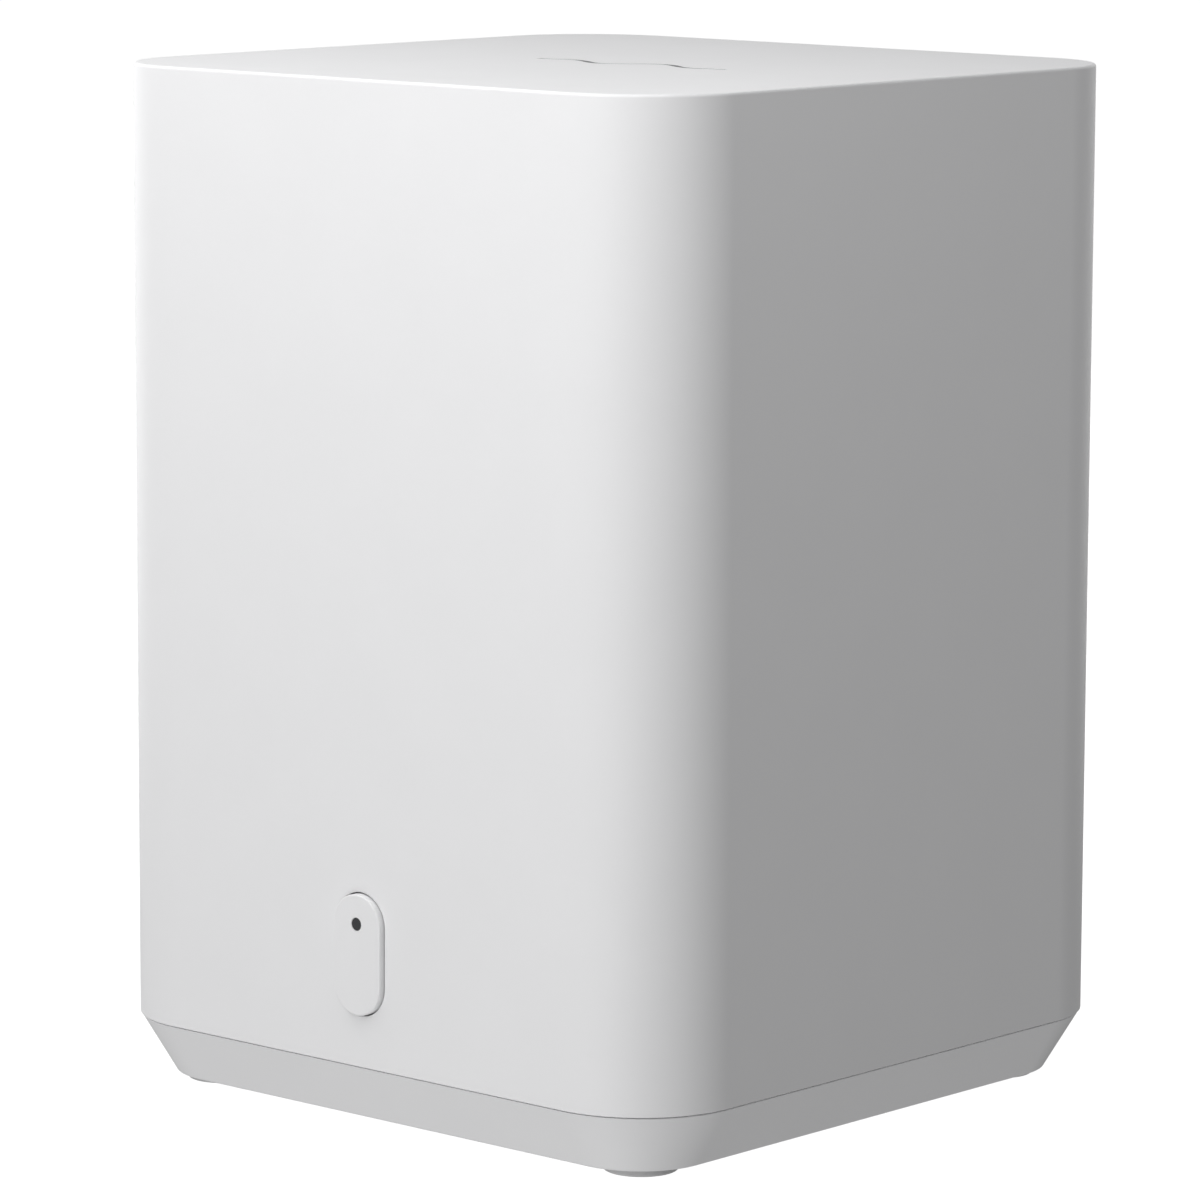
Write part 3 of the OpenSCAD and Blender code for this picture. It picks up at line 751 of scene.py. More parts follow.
@dataclass(frozen=True)
class WaveMark:
    """The outline of the roof's mark: a wave line that swells and fades, with a constant width."""

    length: float = 36.5 * MM
    height: float = 5.0 * MM
    waves: int = 2
    line: float = 1.3 * MM
    depth: float = 0.2 * MM
    steps: int = 120

    def point(self, t: float) -> Vector:
        """A point on the line's middle, for t from 0 to 1."""
        swell = math.sin(math.pi * t)
        return at(self.length * (t - 0.5), self.height / 2 * math.sin(2 * math.pi * self.waves * t) * swell, 0)

    def outline(self) -> list[Vector]:
        """The closed outline round both sides of the line."""
        sides: list[list[Vector]] = [[], []]
        for t in (i / self.steps for i in range(self.steps + 1)):
            along = (self.point(t + 0.002) - self.point(t - 0.002)).normalized()
            across = at(-along.y, along.x, 0) * self.line / 2
            sides[0].append(self.point(t) + across)
            sides[1].append(self.point(t) - across)
        return sides[0] + sides[1][::-1]

    def ribbon(self, name: str, centre: Vector, low: float, high: float) -> Piece:
        """A flat ribbon of the mark's outline between two heights.

        Args:
            name: The new object's name.
            centre: The mark's middle on the roof.
            low: The ribbon's underside.
            high: The ribbon's top.

        Returns:
            The new object.
        """
        shape = {"dimensions": "2D", "fill_mode": "BOTH", "extrude": (high - low) / 2}
        piece = curve_mesh(name, [self.outline()], True, **shape)
        piece.location = (centre.x, centre.y, (low + high) / 2)
        settle(piece)
        return piece


# ---------- Casing ----------


@dataclass
class Housing:
    """The one-piece shell with its roof, rear window and vents."""

    plan: Plan
    finishes: Finishes
    roof: float = 2.6 * MM
    edge_round: float = 0.5 * MM
    foot_round: float = 0.15 * MM
    rim_round: float = 0.12 * MM
    window_round: float = 0.35 * MM
    slot_width: float = 1.8 * MM
    slot_height: float = 28.0 * MM
    slot_middle: float = 60.0 * MM
    screw_head: float = 2.7 * MM
    boss_radius: float = 3.2 * MM
    boss_height: float = 17.0 * MM
    boss_low: float = 13.0 * MM
    pilot_radius: float = 1.55 * MM
    pilot_length: float = 14.0 * MM
    web_low: tuple[float, float, float] = (1.0 * MM, -0.8 * MM, 2.0 * MM)
    web_high: tuple[float, float, float] = (10.6 * MM, 0.8 * MM, 16.0 * MM)
    fill_below: float = 0.05 * MM
    mark: WaveMark = field(default_factory=WaveMark)

    def shell(self) -> Piece:
        """The hollow body with its rounded roof edge."""
        low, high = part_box("housing")
        plan = self.plan
        body = round_block("housing_shell", low, high, Axis.Z, plan.corner, plan.corner_steps)
        round_edges(body, lies_at(Axis.Z, high.z), self.edge_round, 8)
        inset = at(plan.wall, plan.wall, 0)
        inner_low, inner_high = low + inset - at(0, 0, PAST), high - inset - at(0, 0, self.roof)
        carve(body, [round_block("inside", inner_low, inner_high, Axis.Z, plan.corner - plan.wall, 24)])
        return body

    def bosses(self) -> list[Piece]:
        """Four screw bosses, each tied to its corner by a web."""
        made = []
        for place in places_of("base_screws", self.screw_head):
            foot = place + at(0, 0, self.boss_low)
            made.append(rod("boss", foot, foot + at(0, 0, self.boss_height), self.boss_radius))
            web = block("web", Vector(self.web_low), Vector(self.web_high))
            web.rotation_euler.z = math.atan2(math.copysign(1, place.y), math.copysign(1, place.x))
            web.location = foot
            settle(web)
            made.append(web)
        return made

    def pilots(self) -> list[Piece]:
        """The screw holes in the bosses."""
        feet = [place + at(0, 0, self.boss_low - PAST) for place in places_of("base_screws", self.screw_head)]
        return [rod("pilot", foot, foot + at(0, 0, self.pilot_length), self.pilot_radius, 24) for foot in feet]

    def openings(self) -> list[Piece]:
        """The button's hole, the rear window and the vents."""
        low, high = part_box("housing")
        cap_low, cap_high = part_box("button_cap")
        plan, deep = self.plan, self.plan.wall + 2 * PAST
        front, rear = low.y - PAST, high.y + PAST
        middle = (cap_low.z + cap_high.z) / 2
        wide, tall = plan.cap_width / 2 + plan.cap_gap, plan.cap_height / 2 + plan.cap_gap
        first, last = at(-wide, front, middle - tall), at(wide, front + deep, middle + tall)
        made = [round_block("button_hole", first, last, Axis.Y, wide, 20)]
        side = plan.window_width / 2
        first, last = at(-side, rear - deep, plan.window_low), at(side, rear, plan.window_high)
        made.append(round_block("rear_window", first, last, Axis.Y, plan.window_corner, 10))
        slot = at(self.slot_width, 0, self.slot_height) / 2
        for x in plan.slot_places():
            first, last = at(x, rear - deep, self.slot_middle) - slot, at(x, rear, self.slot_middle) + slot
            made.append(round_block("vent", first, last, Axis.Y, self.slot_width / 2, 6))
        return made

    def round_rims(self, body: Piece) -> None:
        """Softens the rims of the button's hole, the rear window and the vents, and the parting line.

        Args:
            body: The housing.
        """
        low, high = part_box("housing")
        cap_low, cap_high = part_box("button_cap")
        plan = self.plan
        side, margin = plan.window_width / 2 + 0.5 * MM, at(0.5, 0, 0.5) * MM
        window_low, window_high, vents_high = plan.window_low - PAST, plan.window_high + PAST, 0.75 * high.z
        for face, first, last, radius, segments in (
            (low.y, cap_low - margin, cap_high + margin, self.rim_round, 3),
            (high.y, at(-side, 0, window_low), at(side, 0, window_high), self.window_round, 4),
            (high.y, at(-side, 0, window_high), at(side, 0, vents_high), self.rim_round, 3),
        ):
            round_edges(body, sharp_at(Axis.Y, face, between(first, last)), radius, segments)
        corner_x, corner_y = high.x - plan.corner, high.y - plan.corner

        def is_outer(spot: Vector) -> bool:
            """Whether a point is on the housing's outer face."""
            past = math.hypot(max(0.0, abs(spot.x) - corner_x), max(0.0, abs(spot.y) - corner_y))
            at_side = max(abs(spot.x) - high.x, abs(spot.y) - high.y)
            return max(at_side, past - plan.corner) > -0.05 * MM

        round_edges(body, sharp_at(Axis.Z, low.z, is_outer), self.foot_round, 3)

    def build(self) -> Piece:
        """Builds and dresses the housing."""
        _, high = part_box("housing")
        body = self.shell()
        weld(body, self.bosses())
        carve(body, self.pilots())
        carve(body, self.openings())
        self.round_rims(body)
        mark_low, mark_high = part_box("top_mark")
        centre, floor = (mark_low + mark_high) / 2, high.z - self.mark.depth
        carve(body, [self.mark.ribbon("groove", centre, floor, high.z + PAST)])
        smooth(body)
        # The roof's mark: a grey fill laid into the groove, a little below the roof.
        mark_fill = self.mark.ribbon("roof_mark", centre, floor, high.z - self.fill_below)
        fit(mark_fill, CASING, self.finishes["grey_pad_ink"], ["top_mark"])
        return fit(body, CASING, self.finishes["white_abs_housing"], ["housing"])


@dataclass
class Base:
    """The chamfered tray under the parting line, with its feet and label.

    A pair gives a radius and a height for a post, counterbore or pilot hole, and an inset and a depth for
    the feet's dish.
    """

    plan: Plan
    finishes: Finishes
    inset: float = 5.5 * MM
    floor: float = 2.0 * MM
    wall: float = 2.6 * MM
    seam: float = 0.16 * MM
    step: float = 0.3 * MM
    lip: float = 0.12 * MM
    hollow_lip: float = 0.2 * MM
    lip_round: float = 0.08 * MM
    edge_round: float = 0.35 * MM
    rim_round: float = 0.1 * MM
    tongue_low: float = 1.2 * MM
    tongue_gap: float = 0.15 * MM
    tongue_wall: float = 1.6 * MM
    foot_radius: float = 5.4 * MM
    foot_recess: float = 1.0 * MM
    foot_gap: float = 0.2 * MM
    foot_edge: float = 0.45 * MM
    foot_rim: float = 1.1 * MM
    foot_dish: tuple[float, float] = (0.25 * MM, -0.2 * MM)
    foot_top: float = 0.15 * MM
    post_low: float = 0.4 * MM
    case_post: tuple[float, float] = (4.6 * MM, 12.9 * MM)
    board_post: float = 3.0 * MM
    frame_post: float = 3.4 * MM
    board_head: float = 2.2 * MM
    frame_head: float = 2.7 * MM
    counterbore: tuple[float, float] = (3.0 * MM, 8.2 * MM)
    case_hole: float = 1.7 * MM
    board_pilot: tuple[float, float] = (1.3 * MM, 4.0 * MM)
    frame_pilot: tuple[float, float] = (1.55 * MM, 0.6 * MM)
    vent_size: tuple[float, float] = (2.0 * MM, 16.0 * MM)
    vent_rows: tuple[float, float] = (-26 * MM, 26 * MM)
    label_recess: float = 0.3 * MM
    label_gap: float = 0.2 * MM
    label_corner: float = 1.8 * MM
    label_round: float = 0.05 * MM

    def tapered(self, name: str, low: Vector, high: Vector, radius: float, lip: float, inset: float) -> Piece:
        """A block with round corners that draws in towards its underside.

        Args:
            name: The new object's name.
            low: The lowest corner of its widest outline, at its final underside.
            high: Its highest corner.
            radius: The corners' radius at the top.
            lip: The height of the straight band at the top.
            inset: How far the underside draws in.

        Returns:
            The new object.
        """
        band_low = at(low.x, low.y, high.z - lip)
        piece = round_block(name, band_low, high, Axis.Z, radius, self.plan.corner_steps)
        draw_in(piece, at(0, 0, -1), inset, band_low.z - low.z)
        return piece

    def tray(self) -> Piece:
        """The skirt, its floor and the tongue that plugs into the housing."""
        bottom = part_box("base")[0].z
        shell_low, shell_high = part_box("housing")
        corner, top = self.plan.corner, shell_low.z - self.seam
        drawn, wall = at(self.step, self.step, 0), at(self.wall, self.wall, 0)
        low, high = at(shell_low.x, shell_low.y, bottom) + drawn, at(shell_high.x, shell_high.y, top) - drawn
        skirt = self.tapered("base_tray", low, high, corner - self.step, self.lip, self.inset - self.step)
        round_edges(skirt, lies_at(Axis.Z, bottom), self.edge_round, 4)
        round_edges(skirt, lies_at(Axis.Z, top), self.lip_round, 2)
        low = at(shell_low.x, shell_low.y, bottom + self.floor) + wall
        high = at(shell_high.x, shell_high.y, shell_low.z) - wall
        inset = self.inset - self.floor * self.inset / (shell_low.z - bottom)
        carve(skirt, [self.tapered("hollow", low, high, corner - self.wall, self.hollow_lip, inset)])
        weld(skirt, [self.tongue(), *self.posts()])
        return skirt

    def tongue(self) -> Piece:
        """The upright rim inside the housing."""
        shell_low, shell_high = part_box("housing")
        top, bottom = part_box("base")[1].z, shell_low.z - self.tongue_low
        outer = self.plan.wall + self.tongue_gap
        rims = []
        for inset, extra in ((outer, 0.0), (outer + self.tongue_wall, PAST)):
            low = at(shell_low.x + inset, shell_low.y + inset, bottom - extra)
            high = at(shell_high.x - inset, shell_high.y - inset, top + extra)
            rims.append(round_block("tongue", low, high, Axis.Z, self.plan.corner - inset, 16))
        carve(rims[0], [rims[1]])
        return rims[0]

    def screws(self) -> tuple[list[Vector], list[Vector], list[Vector]]:
        """The places of the feet with the case screws, of the board's screws and of the frame's screws."""
        feet = places_of("rubber_feet", self.foot_radius)
        return feet, places_of("board_screws", self.board_head), places_of("frame_screws", self.frame_head)

    def posts(self) -> list[Piece]:
        """What stands on the floor: posts for the case screws, the board and the inner frame."""
        foot = at(0, 0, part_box("base")[0].z + self.post_low)
        board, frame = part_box("main_board")[0].z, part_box("inner_frame")[0].z
        shapes = self.case_post, (self.board_post, board), (self.frame_post, frame)
        return [
            rod("post", place + foot, place + at(0, 0, top), radius, 32)
            for places, (radius, top) in zip(self.screws(), shapes)
            for place in places
        ]

    def holes(self) -> list[Piece]:
        """What is cut from below and above: recesses, counterbores, pilot holes and vents."""
        low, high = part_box("base")
        bottom, floor, over = low.z - PAST, low.z + self.floor, high.z + 8 * PAST
        case, board, frame = self.screws()
        cuts = [
            rod("hole", place + at(0, 0, z0), place + at(0, 0, z1), radius)
            for places, radius, z0, z1 in (
                (case, self.foot_radius + self.foot_gap, bottom, low.z + self.foot_recess),
                (case, self.counterbore[0], bottom, self.counterbore[1]),
                (case, self.case_hole, bottom, high.z),
                (board, self.board_pilot[0], floor + self.board_pilot[1], over),
                (frame, self.frame_pilot[0], floor + self.frame_pilot[1], over),
            )
            for place in places
        ]
        half = at(*self.vent_size, 0) / 2
        for row in self.vent_rows:
            for x in self.plan.slot_places():
                first, last = at(x, row, bottom) - half, at(x, row, floor + PAST) + half
                cuts.append(round_block("vent", first, last, Axis.Z, half.x, 6))
        label_low, label_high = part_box("rating_label")
        margin = at(self.label_gap, self.label_gap, 0)
        first = at(label_low.x, label_low.y, bottom) - margin
        last = at(label_high.x, label_high.y, low.z + self.label_recess) + margin
        cuts.append(round_block("recess", first, last, Axis.Z, self.label_corner + self.label_gap, 8))
        return cuts

    def feet(self) -> Piece:
        """Four round feet, each dished underneath."""
        low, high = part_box("rubber_feet")
        first, *others = self.screws()[0]
        foot, down = rod("rubber_foot", first, first + at(0, 0, high.z), self.foot_radius, 64), at(0, 0, -1)
        round_edges(foot, lies_at(Axis.Z, low.z), self.foot_edge, 5)
        draw_in(foot, down, self.foot_rim, 0.0)
        draw_in(foot, down, *self.foot_dish)
        round_edges(foot, lies_at(Axis.Z, high.z), self.foot_top, 2)
        smooth(foot)
        return join("rubber_feet_piece", [foot, *(copy_to(foot, place - first) for place in others)])

    def label(self) -> Piece:
        """The blank label, with a softened edge."""
        low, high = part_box("rating_label")
        piece = round_block("blank_label", low, high, Axis.Z, self.label_corner, 8)
        round_edges(piece, lies_at(Axis.Z, low.z), self.label_round, 2)
        return smooth(piece)

    def build(self) -> Piece:
        """Builds and dresses the base."""
        low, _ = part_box("base")
        tray = self.tray()
        carve(tray, self.holes())
        reach = abs(low.x) - self.inset - 1.5 * MM
        inner = sharp_at(Axis.Z, low.z, lambda spot: max(abs(spot.x), abs(spot.y)) < reach)
        round_edges(tray, inner, self.rim_round, 2)
        smooth(tray)
        fit(self.feet(), CASING, self.finishes["silicone_rubber"], ["rubber_feet"])
        fit(self.label(), CASING, self.finishes["polyester_label"], ["rating_label"])
        return fit(tray, CASING, self.finishes["white_abs_base"], ["base"])


# ---------- Pairing button ----------


@dataclass
class PairingButton:
    """The pill-shaped cap with its indicator window."""

    plan: Plan
    finishes: Finishes
    edge_round: float = 0.25 * MM
    lip: float = 1.4 * MM
    lip_depth: float = 1.0 * MM
    lip_gap: float = 0.1 * MM
    lens_radius: float = 0.95 * MM
    lens_gap: float = 0.02 * MM
    lens_round: float = 0.12 * MM
    guide_radius: float = 1.62 * MM
    post_radius: float = 1.5 * MM
    post_sink: float = 0.2 * MM

    def cap(self) -> Piece:
        """The cap, the lip that keeps it behind the wall, and the post that presses the switch."""
        low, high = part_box("button_cap")
        guide_low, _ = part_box("button_light_guide")
        plunger_low, plunger_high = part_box("button_switch_plunger")
        middle = (low.z + high.z) / 2
        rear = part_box("housing")[0].y + self.plan.wall + self.lip_gap + self.lip_depth
        half = at(self.plan.cap_width / 2, 0, self.plan.cap_height / 2)
        rim = half + at(self.lip, 0, self.lip)
        first, last = at(0, low.y, middle) - half, at(0, rear, middle) + half
        cap = round_block("pairing_button", first, last, Axis.Y, half.x, 24)
        round_edges(cap, lies_at(Axis.Y, low.y), self.edge_round, 6)
        first, last = at(0, rear - self.lip_depth, middle) - rim, at(0, rear, middle) + rim
        lip = round_block("lip", first, last, Axis.Y, rim.x, 24)
        press = (plunger_low + plunger_high) / 2
        weld(cap, [lip, peg("post", at(0, 0, press.z), rear - self.post_sink, high.y, self.post_radius)])
        lamp = self.lamp()
        bore = peg("bore", lamp, low.y - PAST, high.y + PAST, self.lens_radius + self.lens_gap)
        carve(cap, [bore, peg("counterbore", lamp, guide_low.y, high.y + PAST, self.guide_radius)])
        reach = self.lens_radius + 0.1 * MM
        rims = sharp_at(Axis.Y, low.y, lambda spot: math.hypot(spot.x, spot.z - lamp.z) < reach)
        round_edges(cap, rims, self.lens_round / 2, 2)
        return smooth(cap)

    @staticmethod
    def lamp() -> Vector:
        """The indicator's middle, as seen from the front."""
        low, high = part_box("button_lens")
        return at(0, 0, (low.z + high.z) / 2)

    def lens(self) -> Piece:
        """The window over the light guide, with a rounded front edge."""
        low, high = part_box("button_lens")
        lens = peg("indicator_lens", self.lamp(), high.y, low.y, self.lens_radius)
        round_edges(lens, lies_at(Axis.Y, low.y), self.lens_round, 4)
        return smooth(lens)

    def build(self) -> Piece:
        """Builds and dresses the button."""
        fit(self.lens(), BUTTON, self.finishes["smoked_polycarbonate"], ["button_lens"])
        return fit(self.cap(), BUTTON, self.finishes["white_abs_button"], ["button_cap"])


# ---------- Rear connectors ----------


@dataclass
class NetworkSocket:
    """One 8P8C socket: a tin shell, a black insert with two lamps, and eight contacts."""

    number: int
    finishes: Finishes
    sheet: float = 0.3 * MM
    bend: float = 0.5 * MM
    opening_depth: float = 12.8 * MM
    mouth_round: float = 0.18 * MM
    # The opening's steps: the width, and the lowest and highest place over the insert's underside.
    steps: tuple[tuple[float, float, float], ...] = ((11.9, 4.2, 11.1), (6.2, 2.6, 5.2), (3.4, 1.3, 4.2))
    comb_gap: float = 0.3 * MM
    comb_depth: float = 3.2 * MM
    lamp_size: tuple[float, float, float] = (2.6 * MM, 0.24 * MM, 1.3 * MM)
    lamp_side: float = 5.4 * MM
    lamp_below: float = 1.0 * MM
    lamp_corner: float = 0.25 * MM
    lamp_round: float = 0.08 * MM
    wire_radius: float = 0.19 * MM
    contact_count: int = 8
    contact_pitch: float = 1.02 * MM

    def box(self, part: str) -> tuple[Vector, Vector]:
        """The box of this socket's shell, insert or contacts."""
        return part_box(f"ethernet_{part}_{self.number}")

    def middle(self) -> float:
        """The socket's middle across the rear."""
        low, high = self.box("shell")
        return (low.x + high.x) / 2

    def contact_places(self) -> list[float]:
        """Places of the contacts across the socket."""
        middle = (self.contact_count - 1) / 2
        return [self.middle() + (i - middle) * self.contact_pitch for i in range(self.contact_count)]

    def shell(self) -> Piece:
        """The pressed cover, open at the rear and below, with rounded bends."""
        low, high = self.box("shell")
        sheet = self.sheet

        def top_edges(height: float) -> EdgeTest:
            """A test for edges that run from front to rear above a height."""
            return lambda edge: runs_along(Axis.Y)(edge) and edge.verts[0].co.z > height

        piece = block("socket_shell", low, high)
        round_edges(piece, top_edges(high.z - TOUCH), self.bend, 4)
        hollow = block("hollow", low + at(sheet, sheet, -PAST), high + at(-sheet, PAST, -sheet))
        round_edges(hollow, top_edges(high.z - 2 * sheet), self.bend / 2, 3)
        carve(piece, [hollow])
        return smooth(piece)

    def insert(self) -> Piece:
        """The moulding with its stepped opening and the slots that keep the contacts apart."""
        low, high = self.box("insert")
        x, back = self.middle(), high.y - self.opening_depth
        piece = block("socket_insert", low, high)
        cuts = []
        for width, z0, z1 in self.steps:
            half = width * MM / 2
            first, last = at(x - half, back, low.z + z0 * MM), at(x + half, high.y + PAST, low.z + z1 * MM)
            cuts.append(block("step", first, last))
        carve(piece, cuts)
        round_edges(piece, sharp_at(Axis.Y, high.y), self.mouth_round, 2)
        low, high = self.box("contacts")
        gap = self.comb_gap
        comb = (at(-gap, low.y - PAST, low.z - gap), at(gap, low.y + self.comb_depth, high.z + gap))
        shifts = [at(place, 0, 0) for place in self.contact_places()]
        carve(piece, [block("comb", comb[0] + shift, comb[1] + shift) for shift in shifts])
        return smooth(piece)

    def lamps(self) -> None:
        """Builds and dresses two small windows above the opening, green and amber."""
        _, high = self.box("insert")
        half = Vector(self.lamp_size) / 2
        for side, colour in ((-1, "green"), (1, "amber")):
            centre = at(self.middle() + side * self.lamp_side, high.y, high.z - self.lamp_below)
            name = f"socket_lamp_{colour}_{self.number}"
            lamp = round_block(name, centre - half, centre + half, Axis.Y, self.lamp_corner, 4)
            round_edges(lamp, lies_at(Axis.Y, centre.y + half.y), self.lamp_round, 3)
            fit(smooth(lamp), CASING, self.finishes[f"{colour}_lamp"])

    def contacts(self) -> Piece:
        """Eight round wires that slope down from the roof of the opening and level out at its back."""
        low, high = self.box("contacts")
        r = self.wire_radius
        rear, front, roof, floor = high.y - r, low.y, high.z - r, low.z + r
        path = (
            (rear, roof),
            (rear - 0.8 * MM, roof - 0.05 * MM),
            (rear - 1.6 * MM, roof - 0.25 * MM),
            (front + 3.0 * MM, floor + 0.25 * MM),
            (front + 2.2 * MM, floor + 0.05 * MM),
            (front + 1.4 * MM, floor),
            (front, floor),
        )
        lines = [[at(x, y, z) for y, z in path] for x in self.contact_places()]
        wire = {"dimensions": "3D", "bevel_depth": r, "bevel_resolution": 2, "use_fill_caps": True}
        return smooth(curve_mesh("socket_contacts", lines, False, **wire))

    def build(self) -> None:
        """Builds and dresses the socket."""
        for piece, part, slot, finish in (
            (self.shell(), "shell", "jack_tin", "tinned_sheet"),
            (self.insert(), "insert", "black_nylon", "black_nylon"),
            (self.contacts(), "contacts", "contact_gold", "gold_plate"),
        ):
            piece.name = f"socket_{part}_{self.number}"
            fit(piece, CASING, self.finishes[finish], [f"ethernet_{part}_{self.number}"])
        self.lamps()


@dataclass
class RearPanel:
    """The panel behind the rear window, the power inlet and the reset button."""

    finishes: Finishes
    corner: float = 2.0 * MM
    cut_gap: float = 0.1 * MM
    cut_round: float = 0.12 * MM
    reset_hole: float = 0.9 * MM
    reset_radius: float = 0.75 * MM
    reset_round: float = 0.25 * MM
    sign_depth: float = 0.15 * MM
    sign_height: float = 34.0 * MM
    dot_radius: float = 0.45 * MM
    dot_pitch: float = 1.7 * MM
    ring_radius: float = 1.6 * MM
    ring_inside: float = 1.15 * MM
    inlet_round: float = 0.4 * MM
    inlet_bore: float = 3.1 * MM
    inlet_depth: float = 10.5 * MM
    inlet_funnel: float = 0.3 * MM
    pin_radius: float = 1.0 * MM
    pin_tip: float = 0.6 * MM
    root_radius: float = 1.4 * MM
    root_gap: float = 0.01 * MM
    root_length: float = 2.0 * MM
    leaf_sheet: float = 0.15 * MM
    sockets: tuple[int, ...] = (1, 2, 3)

    @staticmethod
    def centre(node: str) -> Vector:
        """The middle of a node's box."""
        low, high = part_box(node)
        return (low + high) / 2

    def signs(self) -> list[Piece]:
        """Cutters for the shallow signs: one, two and three dots, and a ring with a dot for power."""
        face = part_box("port_panel")[1].y - self.sign_depth
        power = at(self.centre("power_inlet").x, 0, self.sign_height)
        spots = [power]
        for count in self.sockets:
            x = self.centre(f"ethernet_shell_{count}").x
            spots += [at(x + (i - (count - 1) / 2) * self.dot_pitch, 0, self.sign_height) for i in range(count)]
        ring = peg("ring", power, face, face + PAST, self.ring_radius)
        carve(ring, [peg("core", power, face - PAST, face + 2 * PAST, self.ring_inside)])
        return [*(peg("dot", spot, face, face + PAST, self.dot_radius, 24) for spot in spots), ring]

    def panel(self) -> Piece:
        """The plate with its cut-outs and signs, whose sunk faces are inked."""
        low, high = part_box("port_panel")
        plate = round_block("rear_panel", low, high, Axis.Y, self.corner, 8)
        gap = at(self.cut_gap, 0, self.cut_gap)
        cuts = [peg("cut", self.centre("reset_plunger"), low.y - PAST, high.y + PAST, self.reset_hole)]
        for node in (*(f"ethernet_shell_{number}" for number in self.sockets), "power_inlet"):
            part_low, part_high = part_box(node)
            first, last = at(part_low.x, low.y - PAST, part_low.z), at(part_high.x, high.y + PAST, part_high.z)
            cuts.append(block("cut", first - gap, last + gap))
        carve(plate, cuts)
        round_edges(plate, sharp_at(Axis.Y, high.y), self.cut_round, 2)
        carve(plate, self.signs())
        for finish in ("white_abs_panel", "grey_pad_ink"):
            plate.data.materials.append(self.finishes[finish])
        floor = high.y - self.sign_depth
        for polygon in plate.data.polygons:
            sunk = abs(polygon.center.y - floor) < 0.05 * MM
            polygon.material_index = int(sunk and polygon.normal.y > 0.9)
        return smooth(plate)

    def inlet(self) -> Piece:
        """The barrel inlet's moulding, with a funnelled mouth."""
        low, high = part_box("power_inlet")
        pin_low, pin_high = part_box("power_inlet_pin")
        piece, centre, mouth = block("power_socket", low, high), (pin_low + pin_high) / 2, high.y + PAST
        round_edges(piece, runs_along(Axis.Y), self.inlet_round, 3)
        bore = peg("bore", centre, high.y - self.inlet_depth, mouth, self.inlet_bore, 64)
        carve(piece, [bore, peg("root", centre, pin_low.y, mouth, self.root_radius + self.root_gap)])
        round_edges(piece, sharp_at(Axis.Y, high.y), self.inlet_funnel, 3)
        return smooth(piece)

    def pin(self) -> Piece:
        """The centre pin: a root, a shank and a rounded tip."""
        low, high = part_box("power_inlet_pin")
        centre = (low + high) / 2
        shank = peg("power_pin", centre, low.y, high.y, self.pin_radius)
        round_edges(shank, lies_at(Axis.Y, high.y), self.pin_tip, 6)
        weld(shank, [peg("root", centre, low.y, low.y + self.root_length, self.root_radius)])
        return smooth(shank)

    def spring(self) -> Piece:
        """The leaf that presses on the plug's barrel, bowed towards the pin."""
        low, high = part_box("power_inlet_spring")
        leaf = block("power_leaf", low, at(high.x, high.y, low.z + self.leaf_sheet))
        with editing(leaf) as mesh:
            pick(mesh, Kind.EDGE, runs_along(Axis.Y))
            bpy.ops.mesh.subdivide(number_cuts=9)
        rise = high.z - low.z - self.leaf_sheet
        for vertex in leaf.data.vertices:
            share = (vertex.co.y - low.y) / (high.y - low.y)
            vertex.co.z += rise * math.sin(math.pi * share)
        return smooth(leaf)

    def reset(self) -> Piece:
        """The recessed plunger with a rounded end."""
        low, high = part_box("reset_plunger")
        piece = peg("reset_pin", (low + high) / 2, low.y, high.y, self.reset_radius, 32)
        round_edges(piece, lies_at(Axis.Y, high.y), self.reset_round, 4)
        return smooth(piece)

    def build(self) -> None:
        """Builds and dresses the panel and what is in it."""
        for piece, body, slot, finish, node in (
            (self.panel(), CASING, "panel_abs", "white_abs_panel", "port_panel"),
            (self.inlet(), CASING, "black_nylon", "black_nylon", "power_inlet"),
            (self.pin(), CASING, "contact_gold", "gold_plate", "power_inlet_pin"),
            (self.spring(), CASING, "contact_gold", "gold_plate", "power_inlet_spring"),
            (self.reset(), RESET, "black_nylon", "black_nylon", "reset_plunger"),
        ):
            fit(piece, body, self.finishes[finish], [node])
        for number in self.sockets:
            NetworkSocket(number, self.finishes).build()


# ---------- The inside ----------


class Inside:
    """The frame's own nodes that stay, each dressed in its finish."""

    DRESS = {
        "zinc_plate": "base_screws board_screws frame_screws heat_sink_screws button_board_screws",
        "black_nylon": "button_switch button_switch_plunger reset_switch",
        "white_abs_panel": "button_retainer",
        "clear_acrylic": "button_light_guide",
        "led_epoxy": "status_led",
        "solder_resist": "main_board button_board",
        "aerial_laminate": "aerial_left aerial_right aerial_front aerial_rear",
        "striped_film": "button_cable",
        "connector_nylon": "cable_connectors",
        "chip_epoxy": "processor memory_chip flash_chip radio_chip_1 radio_chip_2 network_chip power_coils",
        "tinned_sheet": "processor_shield radio_shield",
        "shrink_sleeve": "smoothing_capacitors",
        "silicone_pad": "thermal_pads",
        "anodised_aluminium": "heat_sink",
        "gold_plate": "heat_sink_spacers aerial_sockets aerial_plugs",
        "grey_abs_frame": "inner_frame",
        "lead_jacket": "aerial_lead_left aerial_lead_right aerial_lead_front aerial_lead_rear",
    }

    def __init__(self, nodes: dict[str, Piece], finishes: Finishes) -> None:
        """Keeps the frame's nodes and the finishes."""
        self.nodes = nodes
        self.finishes = finishes

    def build(self) -> None:
        """Dresses every node that stays."""
        for finish, names in self.DRESS.items():
            for name in names.split():
                materials = self.nodes[name].data.materials
                materials.clear()
                materials.append(self.finishes[finish])
                log.info("%s: %s", name, finish)


# ---------- Studio ----------


def towards(azimuth: float, elevation: float) -> Vector:
    """The direction from the router to a place, in degrees. An azimuth of 0 is the front, and 90 the right."""
    turn, rise = math.radians(azimuth), math.radians(elevation)
    return at(math.sin(turn) * math.cos(rise), -math.cos(turn) * math.cos(rise), math.sin(rise))


